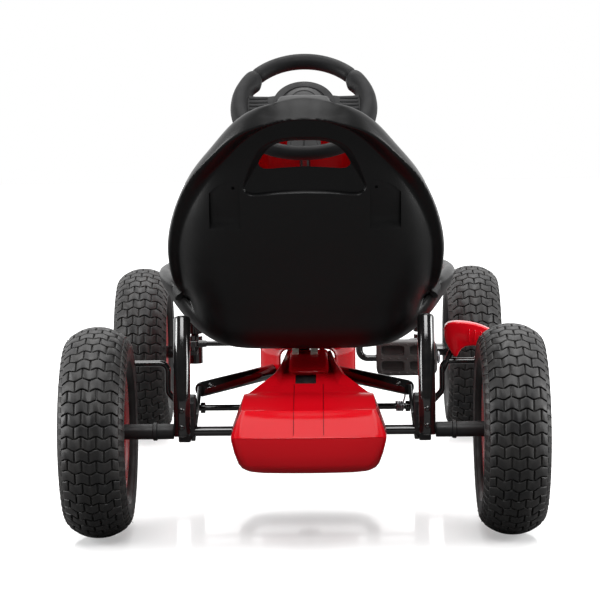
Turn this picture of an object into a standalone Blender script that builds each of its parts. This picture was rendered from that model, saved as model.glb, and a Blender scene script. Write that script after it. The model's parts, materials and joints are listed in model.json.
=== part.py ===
"""Child's pedal go kart, modelled as the separate pieces it comes apart into.

Units are metres. +Y is forwards, +X is the driver's right and +Z is up. The origin is on the ground
under the middle of the kart. Lengths named "back" are measured forwards from the rear axle.
"""
import math

import bmesh
import bpy
from mathutils import Matrix, Vector

# ---- driving dimensions ------------------------------------------------------------------------
GAP = 0.0003                 # clearance between pieces that rest on each other
WHEEL_RADIUS = 0.130
HALF_TRACK = 0.254
WHEELBASE = 0.750
REAR_Y = -0.395              # rear axle
FRONT_Y = REAR_Y + WHEELBASE
AXLE_Z = WHEEL_RADIUS
AXLE_RADIUS = 0.006
BORE_RADIUS = 0.0064

TYRE_SIDES = 28
RIM_SIDES = 20
TUBE_SIDES = 12
RIM_HALF_WIDTH = 0.031
RIM_BARREL_RADIUS = 0.071
HUB_OUT = 0.020              # the hub's reach outwards from the wheel's middle plane
HUB_IN = 0.022

BACKBONE_RADIUS = 0.0195
BACKBONE_X = -0.006          # beside the chain, which runs a little right of the middle
BACKBONE_Z = 0.188
BACKBONE_START = REAR_Y + 0.147
BACKBONE_END = 0.244

KINGPIN_X = 0.176
KINGPIN_RADIUS = 0.006
SLEEVE_RADIUS = 0.012
SLEEVE_LOW = 0.1585
SLEEVE_HIGH = 0.208
BEAM_RADIUS = 0.0125
CHANNEL_HALF = 0.038         # outside of the channel's cheeks
CHANNEL_PLATE = 0.004
BEAM_Z = 0.185
STEER_ARM = 0.060
TIE_ROD_Y = FRONT_Y - STEER_ARM
TIE_ROD_Z = 0.150
TIE_ROD_RADIUS = 0.004

COLUMN_DIRECTION = Vector((0.0, -math.sqrt(0.5), math.sqrt(0.5)))   # towards the driver
COLUMN_UP = Vector((0.0, math.sqrt(0.5), math.sqrt(0.5)))           # up in the wheel's plane
COLUMN_FOOT = Vector((0.0, TIE_ROD_Y, TIE_ROD_Z)) + COLUMN_UP * STEER_ARM
COLUMN_RADIUS = 0.008
DROP_ARM_AT = 0.020          # along the column from its foot
COLUMN_LENGTH = 0.463
LOWER_BUSH_AT = 0.058
UPPER_BUSH_AT = 0.2084
BUSH_RADIUS = 0.014
STEER_WHEEL_RADIUS = 0.0915
STEER_RIM_RADIUS = 0.0115

CRANK_Y = 0.115
CRANK_Z = 0.240
CRANK_THROW = 0.090
CRANK_RADIUS = 0.005
CRANK_ARM_X = 0.076
PEDAL_INNER_X = 0.1005
PEDAL_OUTER_X = 0.1885
PEDAL_HEIGHT = 0.050
PEDAL_THICKNESS = 0.024

CHAIN_X = 0.022
CHAIN_PITCH = 0.0127
SPROCKET_TEETH = 14
CHAINRING_TEETH = 21
CHAIN_HALF_DEPTH = 0.0034
CHAIN_HALF_WIDTH = 0.0038

UPRIGHT_X = 0.150
UPRIGHT_RADIUS = 0.0105
BRACKET_X = 0.148
AXLE_BLOCK_HALF = 0.013
GUSSET_X = 0.1285
GUSSET_THICKNESS = 0.004

BRAKE_BACK = 0.1225
BRAKE_Z = 0.140
BRAKE_RADIUS = 0.004
BRAKE_BEND_X = 0.180
BRAKE_ARM_Z = 0.198
BRAKE_END_X = 0.284

SEAT_THICKNESS = 0.016
BAR_SIDES = 10               # sides of a bent bar or tube
COVER_WALL = 0.0025

RED = ((0.62, 0.006, 0.014), 0.22, 0.0)
BLACK_PAINT = ((0.012, 0.012, 0.013), 0.25, 0.3)
BLACK_PLASTIC = ((0.018, 0.018, 0.019), 0.5, 0.0)
GREY_PLASTIC = ((0.045, 0.045, 0.047), 0.5, 0.0)
TYRE_RUBBER = ((0.015, 0.015, 0.016), 0.75, 0.0)
STEEL = ((0.45, 0.45, 0.46), 0.35, 1.0)


# ---- helpers -----------------------------------------------------------------------------------
def clear_scene():
    for item in list(bpy.data.objects):
        bpy.data.objects.remove(item, do_unlink=True)


def back(y):
    """Y of a point that lies a distance forwards of the rear axle."""
    return REAR_Y + y


def new_object(name, mesh_builder, finish, origin=(0.0, 0.0, 0.0), sharp=40.0):
    """Object from a bmesh whose points are given relative to the origin."""
    bmesh.ops.recalc_face_normals(mesh_builder, faces=mesh_builder.faces[:])
    mesh = bpy.data.meshes.new(name)
    mesh_builder.to_mesh(mesh)
    mesh_builder.free()
    item = bpy.data.objects.new(name, mesh)
    item.location = origin
    bpy.context.collection.objects.link(item)
    dress(item, finish, sharp)
    return item


def dress(item, finish, sharp=40.0):
    colour, roughness, metallic = finish
    material = bpy.data.materials.new(item.name + "_finish")
    material.use_nodes = True
    shader = material.node_tree.nodes["Principled BSDF"]
    shader.inputs["Base Color"].default_value = (*colour, 1.0)
    shader.inputs["Roughness"].default_value = roughness
    shader.inputs["Metallic"].default_value = metallic
    material.diffuse_color = (*colour, 1.0)
    item.data.materials.clear()
    item.data.materials.append(material)
    item.data.shade_smooth()
    item.data.set_sharp_from_angle(angle=math.radians(sharp))


def boolean(target, other, operation):
    """Join or cut target with other, apply it and take other away."""
    modifier = target.modifiers.new("boolean", "BOOLEAN")
    modifier.operation = operation
    modifier.object = other
    bpy.context.view_layer.update()
    depsgraph = bpy.context.evaluated_depsgraph_get()
    mesh = bpy.data.meshes.new_from_object(target.evaluated_get(depsgraph))
    target.modifiers.clear()
    target.data = mesh
    bpy.data.objects.remove(other, do_unlink=True)
    target.data.shade_smooth()
    target.data.set_sharp_from_angle(angle=math.radians(40.0))
    return target


def joined(name, builders, finish, origin=(0.0, 0.0, 0.0)):
    """One solid from several overlapping ones."""
    base = new_object(name, builders[0], finish, origin)
    for builder in builders[1:]:
        boolean(base, new_object(name + "_part", builder, finish, origin), "UNION")
    return base


def revolved(profile, steps):
    """Ring of a closed (x, radius) profile turned about X, with flats at its bottom and sides."""
    builder = bmesh.new()
    rings = []
    for step in range(steps):
        angle = math.tau * (step + 0.5) / steps
        rings.append([builder.verts.new((x, r * math.cos(angle), r * math.sin(angle)))
                      for x, r in profile])
    for ring, after in zip(rings, rings[1:] + rings[:1]):
        for index in range(len(profile)):
            following = (index + 1) % len(profile)
            builder.faces.new((ring[index], ring[following], after[following], after[index]))
    return builder


def washer(inner, outer, low, high, steps=16):
    return revolved(((low, inner), (low, outer), (high, outer), (high, inner)), steps)


def rounded(points, bend, steps=3):
    """Path whose inner corners are turned into arcs of the given bend radius."""
    points = [Vector(point) for point in points]
    path = [points[0]]
    for before, corner, after in zip(points, points[1:], points[2:]):
        into = (before - corner).normalized()
        out = (after - corner).normalized()
        half = into.angle(out) / 2.0
        centre = corner + (into + out).normalized() * (bend / math.sin(half))
        start = corner + into * (bend / math.tan(half)) - centre
        turn = math.pi - 2.0 * half
        axis = into.cross(out).normalized()
        for step in range(steps + 1):
            path.append(centre + Matrix.Rotation(-turn * step / steps, 3, axis) @ start)
    path.append(points[-1])
    return path


def bar(path, radius, sides=BAR_SIDES):
    """Round bar along a path, with flat ends."""
    builder = bmesh.new()
    path = [Vector(point) for point in path]
    tangents = []
    for index, point in enumerate(path):
        ahead = path[min(index + 1, len(path) - 1)]
        behind = path[max(index - 1, 0)]
        tangents.append((ahead - behind).normalized())
    side = tangents[0].orthogonal().normalized()
    rings = []
    for point, tangent in zip(path, tangents):
        side = (side - tangent * side.dot(tangent)).normalized()
        other = tangent.cross(side)
        ring = []
        for step in range(sides):
            angle = math.tau * (step + 0.5) / sides
            ring.append(builder.verts.new(point + radius * (side * math.cos(angle)
                                                            + other * math.sin(angle))))
        rings.append(ring)
    for ring, after in zip(rings, rings[1:]):
        for index in range(sides):
            following = (index + 1) % sides
            builder.faces.new((ring[index], ring[following], after[following], after[index]))
    builder.faces.new(rings[0][::-1])
    builder.faces.new(rings[-1])
    return builder


def loft(sections):
    """Closed solid through closed sections that have the same number of points."""
    builder = bmesh.new()
    rings = [[builder.verts.new(point) for point in section] for section in sections]
    for ring, after in zip(rings, rings[1:]):
        for index in range(len(ring)):
            following = (index + 1) % len(ring)
            builder.faces.new((ring[index], ring[following], after[following], after[index]))
    builder.faces.new(rings[0][::-1])
    builder.faces.new(rings[-1])
    bmesh.ops.triangulate(builder, faces=builder.faces[:])
    return builder


def prism(outline, axis, low, high):
    """Outline pushed along an axis: (y, z) along X, (x, z) along Y or (x, y) along Z."""
    def place(a, b, depth):
        return {"X": (depth, a, b), "Y": (a, depth, b), "Z": (a, b, depth)}[axis]
    return loft([[place(a, b, depth) for a, b in outline] for depth in (low, high)])


def block(low, high):
    outline = ((low[0], low[1]), (high[0], low[1]), (high[0], high[1]), (low[0], high[1]))
    return prism(outline, "Z", low[2], high[2])


def mirrored(points):
    """Outline from its right half: the same points mirrored in X come back in reverse."""
    return list(points) + [(-x, z) for x, z in reversed(points)]


def turned_to(builder, direction, origin):
    """Move a ring made about X so that its axis points along direction."""
    turn = Vector((1.0, 0.0, 0.0)).rotation_difference(direction).to_matrix().to_4x4()
    bmesh.ops.transform(builder, matrix=Matrix.Translation(origin) @ turn, verts=builder.verts[:])
    return builder


SIDES = (("left", -1.0), ("right", 1.0))


# ---- wheels ------------------------------------------------------------------------------------
def tyre_profile():
    """Carcass section, open towards the rim: crown, shoulders, bulged walls and beads."""
    flat = 1.0 / math.cos(math.pi / TYRE_SIDES)
    outer = ((0.008, 0.130), (0.023, 0.1252), (0.035, 0.117), (0.040, 0.100), (0.037, 0.087),
             (0.0285, 0.0782))
    inner = ((0.0235, 0.0782), (0.033, 0.096), (0.022, 0.118))
    half = [(x, r * flat) for x, r in outer + inner]
    return half + [(-x, r) for x, r in reversed(half)]


def rim_profile(side):
    """Drop-centre rim with a dished disc and a hub; the disc lies towards the outside."""
    half_hub = (side * HUB_OUT, side * -HUB_IN)
    points = [(RIM_HALF_WIDTH, 0.0775), (0.0265, 0.0775), (0.0225, RIM_BARREL_RADIUS),
              (-0.0225, RIM_BARREL_RADIUS), (-0.0265, 0.0775), (-RIM_HALF_WIDTH, 0.0775),
              (-0.0275, 0.0665), (0.004, 0.062), (0.002, 0.018)]
    points = [(side * x, r) for x, r in points]
    points += [(half_hub[1], 0.016), (half_hub[1], BORE_RADIUS + 0.0001),
               (half_hub[0], BORE_RADIUS + 0.0001), (half_hub[0], 0.015)]
    points += [(side * 0.006, 0.020), (side * 0.008, 0.060), (side * 0.0275, 0.0665)]
    return points


def wheel(end, y):
    for name, side in SIDES:
        centre = (side * HALF_TRACK, y, AXLE_Z)
        new_object(f"tyre_{end}_{name}", revolved(tyre_profile(), TYRE_SIDES), TYRE_RUBBER, centre)
        new_object(f"rim_{end}_{name}", revolved(rim_profile(side), RIM_SIDES), RED, centre)
        tube = [(0.0185, 0.0735), (0.029, 0.095), (0.018, 0.1145)]
        tube += [(-x, r) for x, r in reversed(tube)]
        new_object(f"inner_tube_{end}_{name}", revolved(tube, TUBE_SIDES), TYRE_RUBBER, centre)


def hub_nut(side):
    """Nut that holds a wheel on its axle end."""
    start = HALF_TRACK + HUB_OUT + GAP
    low, high = sorted((side * start, side * (start + 0.009)))
    return washer(BORE_RADIUS, 0.0105, low, high, 12)


# ---- rear axle ---------------------------------------------------------------------------------
def rear_axle():
    origin = (0.0, REAR_Y, AXLE_Z)
    end = HALF_TRACK + HUB_OUT + 0.011
    new_object("rear_axle", bar(((-end, 0, 0), (end, 0, 0)), AXLE_RADIUS, 16), STEEL, origin)
    collar_start = BRACKET_X + AXLE_BLOCK_HALF + GAP
    collar_end = HALF_TRACK - HUB_IN - GAP
    for name, side in SIDES:
        new_object(f"axle_nut_{name}", hub_nut(side), STEEL, origin)
        ends = sorted((side * collar_start, side * collar_end))
        collar = washer(BORE_RADIUS, 0.0095, ends[0], ends[1], 12)
        new_object(f"axle_collar_{name}", collar, BLACK_PLASTIC, origin)


def pitch_radius(teeth):
    return CHAIN_PITCH / (2.0 * math.sin(math.pi / teeth))


def toothed_disc(name, teeth, bore, origin):
    """Flat sprocket whose teeth stay inside the chain's inner side."""
    tip = pitch_radius(teeth) - CHAIN_HALF_DEPTH - 0.0014
    root = tip - 0.0022
    outline = []
    for tooth in range(teeth):
        for share, radius in ((0.0, root), (0.35, tip), (0.65, tip)):
            angle = math.tau * (tooth + share) / teeth
            outline.append((radius * math.cos(angle), radius * math.sin(angle)))
    disc = prism(outline, "X", CHAIN_X - 0.0015, CHAIN_X + 0.0015)
    hub = bar(((CHAIN_X - 0.008, 0, 0), (CHAIN_X + 0.008, 0, 0)), bore + 0.008, 16)
    item = joined(name, [disc, hub], STEEL, origin)
    drill = bar(((CHAIN_X - 0.02, 0, 0), (CHAIN_X + 0.02, 0, 0)), bore, 16)
    return boolean(item, new_object("drill", drill, STEEL, origin), "DIFFERENCE")


def chain():
    """Closed band round the sprocket and the chainring."""
    rear = Vector((REAR_Y, AXLE_Z))
    front = Vector((CRANK_Y, CRANK_Z))
    span = front - rear
    slope = math.atan2(span.y, span.x)
    lean = math.asin((pitch_radius(CHAINRING_TEETH) - pitch_radius(SPROCKET_TEETH)) / span.length)
    steps = 12
    ring = []
    arcs = ((rear, SPROCKET_TEETH, math.pi / 2.0 + lean, math.pi - 2.0 * lean),
            (front, CHAINRING_TEETH, -math.pi / 2.0 - lean, math.pi + 2.0 * lean))
    for centre, teeth, start, sweep in arcs:
        for step in range(steps + 1):
            angle = slope + start + sweep * step / steps
            ring.append((centre, pitch_radius(teeth), angle))
    builder = bmesh.new()
    loops = []
    for centre, radius, angle in ring:
        points = []
        for depth, x in ((-CHAIN_HALF_DEPTH, -CHAIN_HALF_WIDTH),
                         (CHAIN_HALF_DEPTH, -CHAIN_HALF_WIDTH),
                         (CHAIN_HALF_DEPTH, CHAIN_HALF_WIDTH),
                         (-CHAIN_HALF_DEPTH, CHAIN_HALF_WIDTH)):
            reach = radius + depth
            points.append(builder.verts.new((CHAIN_X + x, centre.x + reach * math.cos(angle),
                                             centre.y + reach * math.sin(angle))))
        loops.append(points)
    for loop, after in zip(loops, loops[1:] + loops[:1]):
        for index in range(4):
            following = (index + 1) % 4
            builder.faces.new((loop[index], loop[following], after[following], after[index]))
    new_object("chain", builder, STEEL)


# ---- frame -------------------------------------------------------------------------------------
def backbone():
    path = ((BACKBONE_X, BACKBONE_START, BACKBONE_Z), (BACKBONE_X, BACKBONE_END, BACKBONE_Z))
    new_object("backbone_tube", bar(path, BACKBONE_RADIUS, 16), BLACK_PAINT)


def front_channel():
    """U-shaped plate from the backbone's end to the front beam, with room for the drop arm."""
    web_y = BACKBONE_END + GAP
    beam_y = FRONT_Y - BEAM_RADIUS - GAP
    cheek = ((web_y, 0.170), (beam_y, 0.170), (beam_y, 0.206), (0.328, 0.246), (0.288, 0.246),
             (0.266, 0.208), (web_y, 0.208))
    outer = prism(cheek, "X", -CHANNEL_HALF, CHANNEL_HALF)
    item = new_object("front_channel", outer, BLACK_PAINT)
    inside = CHANNEL_HALF - CHANNEL_PLATE
    room = block((-inside, web_y + CHANNEL_PLATE, 0.10), (inside, FRONT_Y, 0.30))
    boolean(item, new_object("room", room, BLACK_PAINT), "DIFFERENCE")


def front_beam():
    """Cross tube with an upright sleeve at each end for the kingpin."""
    end = KINGPIN_X - 0.5 * SLEEVE_RADIUS
    parts = [bar(((-end, FRONT_Y, BEAM_Z), (end, FRONT_Y, BEAM_Z)), BEAM_RADIUS, 16)]
    for _, side in SIDES:
        low = Vector((side * KINGPIN_X, FRONT_Y, SLEEVE_LOW))
        high = Vector((side * KINGPIN_X, FRONT_Y, SLEEVE_HIGH))
        parts.append(bar((low, high), SLEEVE_RADIUS, 16))
    item = joined("front_beam", parts, BLACK_PAINT)
    for _, side in SIDES:
        low = Vector((side * KINGPIN_X, FRONT_Y, SLEEVE_LOW - 0.1))
        high = Vector((side * KINGPIN_X, FRONT_Y, SLEEVE_HIGH + 0.1))
        hole = bar((low, high), KINGPIN_RADIUS + 0.0006, 16)
        boolean(item, new_object("hole", hole, BLACK_PAINT), "DIFFERENCE")


def bumper():
    """Bent tube that leaves the front beam, passes round the nose and comes back."""
    radius = 0.011
    tip = 0.525 - radius
    start = FRONT_Y + BEAM_RADIUS + 2.0 * GAP
    path = ((-0.100, start, 0.185), (-0.104, 0.455, 0.176), (-0.085, tip, 0.170),
            (0.085, tip, 0.170), (0.104, 0.455, 0.176), (0.100, start, 0.185))
    new_object("front_bumper", bar(rounded(path, 0.030), radius), BLACK_PAINT)


def cross_tubes():
    """Slanted tubes from the backbone back to the side plates by the axle blocks."""
    for name, side in SIDES:
        path = ((side * 0.0275 + BACKBONE_X, back(0.170), 0.182),
                (side * 0.1208, back(0.050), 0.168))
        new_object(f"cross_tube_{name}", bar(path, 0.0095), BLACK_PAINT)


def side_plates():
    """Narrow upright plates that carry the brake shaft and join cross tube, block and upright."""
    outline = ((0.010, 0.116), (0.010, 0.152), (0.040, 0.186), (0.066, 0.186), (0.138, 0.150),
               (0.138, 0.130), (0.112, 0.128), (0.060, 0.142), (0.030, 0.116))
    for name, side in SIDES:
        ends = sorted((side * (GUSSET_X + GAP), side * (GUSSET_X + GUSSET_THICKNESS)))
        plate = prism([(back(y), z) for y, z in outline], "X", ends[0], ends[1])
        item = new_object(f"side_plate_{name}", plate, BLACK_PAINT)
        hole = bar(((-0.2, back(BRAKE_BACK), BRAKE_Z), (0.2, back(BRAKE_BACK), BRAKE_Z)),
                   BRAKE_RADIUS + 0.0006, 16)
        boolean(item, new_object("hole", hole, BLACK_PAINT), "DIFFERENCE")


def axle_blocks():
    """Black plastic blocks that the rear axle turns in."""
    wide = ((-0.0065, 0.124), (-0.0065, 0.166), (0.000, 0.172), (0.030, 0.172), (0.036, 0.160),
            (0.036, 0.124))
    narrow = ((-0.006, 0.117), (-0.006, 0.140), (0.020, 0.140), (0.020, 0.117))
    for name, side in SIDES:
        parts = []
        for outline, half in ((wide, AXLE_BLOCK_HALF), (narrow, 0.0075)):
            points = [(back(y), z) for y, z in outline]
            parts.append(prism(points, "X", side * BRACKET_X - half, side * BRACKET_X + half))
        item = joined(f"axle_block_{name}", parts, BLACK_PLASTIC)
        hole = bar(((-0.2, REAR_Y, AXLE_Z), (0.2, REAR_Y, AXLE_Z)), AXLE_RADIUS + 0.0004, 16)
        boolean(item, new_object("hole", hole, BLACK_PLASTIC), "DIFFERENCE")


def seat_uprights():
    """Tubes from under the seat's sides down behind the rear axle."""
    for name, side in SIDES:
        x = side * UPRIGHT_X
        path = ((x, back(0.006), 0.262), (x, back(-0.006), 0.215), (x, back(-0.0175), 0.175),
                (x, back(-0.0175), 0.129))
        new_object(f"seat_upright_{name}", bar(rounded(path, 0.050), UPRIGHT_RADIUS), BLACK_PAINT)


def seat_bracket():
    """Upright plate with a foot on the backbone and a top plate under the seat."""
    low = BACKBONE_Z + BACKBONE_RADIUS + GAP
    web = block((-0.006, back(0.150), low), (0.006, back(0.174), 0.234))
    top = block((-0.030, back(0.150), 0.2310), (0.030, back(0.174), 0.2342))
    joined("seat_bracket", [web, top], BLACK_PAINT)


def column_point(along, up=0.0, x=0.0):
    return COLUMN_FOOT + COLUMN_DIRECTION * along + COLUMN_UP * up + Vector((x, 0.0, 0.0))


def column_supports():
    """Post on the backbone with the upper bush, and the lower bush between the channel's cheeks."""
    ring_centre = column_point(UPPER_BUSH_AT)
    low = BACKBONE_Z + BACKBONE_RADIUS + GAP
    high = ring_centre.z - BUSH_RADIUS / math.sqrt(0.5) - GAP - 0.0102
    post = bar(((0, ring_centre.y, low), (0, ring_centre.y, high)), 0.010)
    new_object("column_post", post, BLACK_PAINT)
    upper = turned_to(washer(COLUMN_RADIUS + 0.0005, BUSH_RADIUS, -0.011, 0.011),
                      COLUMN_DIRECTION, ring_centre)
    new_object("column_bush", upper, BLACK_PLASTIC)
    corners = [column_point(LOWER_BUSH_AT + along, up) for along, up in
               ((-0.004, -0.016), (0.004, -0.016), (0.004, 0.016), (-0.004, 0.016))]
    outline = [(corner.y, corner.z) for corner in corners]
    reach = CHANNEL_HALF - CHANNEL_PLATE - GAP
    plate = prism(outline, "X", -reach, reach)
    item = new_object("column_bearing_plate", plate, BLACK_PAINT)
    hole = bar((column_point(LOWER_BUSH_AT - 0.03), column_point(LOWER_BUSH_AT + 0.03)),
               COLUMN_RADIUS + 0.0006, 16)
    boolean(item, new_object("hole", hole, BLACK_PAINT), "DIFFERENCE")


def crank_housing():
    """Tube that the crank turns in, on a saddle block that stands on the backbone."""
    shell = bar(((-0.055, CRANK_Y, CRANK_Z), (CHAIN_X - 0.0085, CRANK_Y, CRANK_Z)), 0.014, 16)
    bottom = BACKBONE_Z + BACKBONE_RADIUS + GAP
    saddle = block((BACKBONE_X - 0.012, CRANK_Y - 0.011, bottom),
                   (BACKBONE_X + 0.012, CRANK_Y + 0.011, CRANK_Z - 0.008))
    item = joined("crank_shell", [shell, saddle], BLACK_PAINT)
    hole = bar(((-0.2, CRANK_Y, CRANK_Z), (0.2, CRANK_Y, CRANK_Z)), CRANK_RADIUS + 0.0006, 16)
    boolean(item, new_object("hole", hole, BLACK_PAINT), "DIFFERENCE")


# ---- steering ----------------------------------------------------------------------------------
def knuckles():
    """Kingpin, stub axle and steering arm in one piece on each side, with their nuts."""
    for name, side in SIDES:
        origin = Vector((side * KINGPIN_X, FRONT_Y, 0.0))
        stub_end = HALF_TRACK + HUB_OUT + 0.011 - KINGPIN_X
        hub_end = HALF_TRACK - HUB_IN - GAP - KINGPIN_X
        parts = [bar(((0, 0, 0.112), (0, 0, 0.1545)), 0.012, 16),
                 bar(((0, 0, 0.150), (0, 0, 0.224)), KINGPIN_RADIUS, 16),
                 bar(((0, 0, AXLE_Z), (side * hub_end, 0, AXLE_Z)), 0.0095, 16),
                 bar(((0, 0, AXLE_Z), (side * stub_end, 0, AXLE_Z)), AXLE_RADIUS, 16),
                 block((-0.007, -STEER_ARM - 0.007, 0.133), (0.007, 0.0, 0.139)),
                 bar(((0, -STEER_ARM, 0.136), (0, -STEER_ARM, 0.162)), 0.003)]
        joined(f"knuckle_{name}", parts, BLACK_PAINT, origin)
        bore = (KINGPIN_RADIUS + 0.0004) / math.cos(math.pi / 6.0)
        pin_nut = turned_to(washer(bore, 0.011, 0.0, 0.010, 6), Vector((0, 0, 1)),
                            Vector((0, 0, SLEEVE_HIGH + GAP)))
        new_object(f"kingpin_nut_{name}", pin_nut, STEEL, origin)
        new_object(f"wheel_nut_{name}", hub_nut(side), STEEL, (0.0, FRONT_Y, AXLE_Z))


def tie_rod():
    """Rod between the steering arms, with a slotted plate in the middle for the drop arm's pin."""
    origin = Vector((-KINGPIN_X, TIE_ROD_Y, TIE_ROD_Z))
    reach = 2.0 * KINGPIN_X
    middle = Vector((KINGPIN_X, 0.0, 0.0))
    half_plate = 0.002
    corners = [COLUMN_UP * -0.012 + COLUMN_DIRECTION * -half_plate,
               COLUMN_UP * -0.012 + COLUMN_DIRECTION * half_plate,
               COLUMN_UP * 0.012 + COLUMN_DIRECTION * half_plate,
               COLUMN_UP * 0.012 + COLUMN_DIRECTION * -half_plate]
    outline = [(corner.y, corner.z) for corner in corners]
    parts = [bar(((0.004, 0, 0), (reach - 0.004, 0, 0)), TIE_ROD_RADIUS),
             prism(outline, "X", KINGPIN_X - 0.016, KINGPIN_X + 0.016)]
    for x in (0.0, reach):
        parts.append(bar(((x, 0, -0.0045), (x, 0, 0.0045)), 0.0085))
    item = joined("tie_rod", parts, BLACK_PAINT, origin)
    for x in (0.0, reach):
        hole = bar(((x, 0, -0.02), (x, 0, 0.02)), 0.0036, 16)
        boolean(item, new_object("hole", hole, BLACK_PAINT, origin), "DIFFERENCE")
    hole = bar((middle - COLUMN_DIRECTION * 0.02, middle + COLUMN_DIRECTION * 0.02), 0.0058, 16)
    boolean(item, new_object("hole", hole, BLACK_PAINT, origin), "DIFFERENCE")


def steering_column():
    """Column with the drop arm and its pin at the lower end."""
    origin = column_point(0.0)
    rod = bar((COLUMN_DIRECTION * (DROP_ARM_AT - 0.006), COLUMN_DIRECTION * COLUMN_LENGTH),
              COLUMN_RADIUS, 16)
    corners = [COLUMN_DIRECTION * (DROP_ARM_AT + along) + COLUMN_UP * up for along, up in
               ((-0.003, -STEER_ARM - 0.006), (0.003, -STEER_ARM - 0.006), (0.003, 0.003),
                (-0.003, 0.003))]
    arm = prism([(corner.y, corner.z) for corner in corners], "X", -0.006, 0.006)
    pin = bar((COLUMN_UP * -STEER_ARM + COLUMN_DIRECTION * DROP_ARM_AT,
               COLUMN_UP * -STEER_ARM + COLUMN_DIRECTION * -0.010), 0.0032)
    joined("steering_column", [rod, arm, pin], BLACK_PAINT, origin)


def steering_wheel():
    """Ring, three spokes and hub, in a plane square to the column."""
    origin = column_point(COLUMN_LENGTH)
    sides = 8
    profile = []
    for step in range(sides):
        angle = math.tau * step / sides
        profile.append((STEER_RIM_RADIUS * math.cos(angle),
                        STEER_WHEEL_RADIUS + STEER_RIM_RADIUS * math.sin(angle)))
    ring = revolved(profile, 24)
    hub = bar(((-0.010, 0, 0), (0.010, 0, 0)), 0.044, 24)
    for builder in (ring, hub):
        turned_to(builder, COLUMN_DIRECTION, Vector((0, 0, 0)))
    parts = [ring, hub]
    for direction, half in ((Vector((-1, 0, 0)), 0.016), (Vector((1, 0, 0)), 0.016),
                            (-COLUMN_UP, 0.022)):
        across = COLUMN_DIRECTION.cross(direction)
        sections = []
        for reach in (0.035, STEER_WHEEL_RADIUS):
            centre = direction * reach
            sections.append([centre + across * (half * a) + COLUMN_DIRECTION * (0.006 * b)
                             for a, b in ((-1, -1), (1, -1), (1, 1), (-1, 1))])
        parts.append(loft(sections))
    item = joined("steering_wheel", parts, GREY_PLASTIC, origin)
    hole = bar((COLUMN_DIRECTION * -0.05, COLUMN_DIRECTION * 0.0005), COLUMN_RADIUS + 0.0004, 16)
    boolean(item, new_object("hole", hole, GREY_PLASTIC, origin), "DIFFERENCE")
    cap = turned_to(bar(((0.010 + GAP, 0, 0), (0.016, 0, 0)), 0.028, 20), COLUMN_DIRECTION,
                    Vector((0, 0, 0)))
    new_object("steering_cap", cap, BLACK_PLASTIC, origin)


# ---- crank and pedals --------------------------------------------------------------------------
def crank():
    """Bent crank rod with a flanged end outside each pedal, and the pedals on it."""
    origin = (0.0, CRANK_Y, CRANK_Z)
    end = PEDAL_OUTER_X + 0.002
    path = ((end, 0, -CRANK_THROW), (CRANK_ARM_X, 0, -CRANK_THROW), (CRANK_ARM_X, 0, 0),
            (-CRANK_ARM_X, 0, 0), (-CRANK_ARM_X, 0, CRANK_THROW), (-end, 0, CRANK_THROW))
    parts = [bar(rounded(path, 0.012), CRANK_RADIUS, 12)]
    for _, side in SIDES:
        z = -side * CRANK_THROW
        inner = side * (PEDAL_OUTER_X + 0.0008)
        parts.append(bar(((inner, 0, z), (side * (PEDAL_OUTER_X + 0.005), 0, z)), 0.009, 12))
    joined("crank_rod", parts, BLACK_PAINT, origin)
    for name, side in SIDES:
        centre = Vector((0.0, CRANK_Y, CRANK_Z - side * CRANK_THROW))
        ends = sorted((side * PEDAL_INNER_X, side * PEDAL_OUTER_X))
        half_z = PEDAL_HEIGHT / 2.0
        half_y = PEDAL_THICKNESS / 2.0
        bevel = 0.005
        outline = ((-half_y + bevel, -half_z), (half_y - bevel, -half_z), (half_y, bevel - half_z),
                   (half_y, half_z - bevel), (half_y - bevel, half_z), (bevel - half_y, half_z),
                   (-half_y, half_z - bevel), (-half_y, bevel - half_z))
        item = new_object(f"pedal_{name}", prism(outline, "X", ends[0], ends[1]), BLACK_PLASTIC,
                          centre)
        hole = bar(((-0.3, 0, 0), (0.3, 0, 0)), CRANK_RADIUS + 0.0006, 16)
        boolean(item, new_object("hole", hole, BLACK_PLASTIC, centre), "DIFFERENCE")


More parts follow.
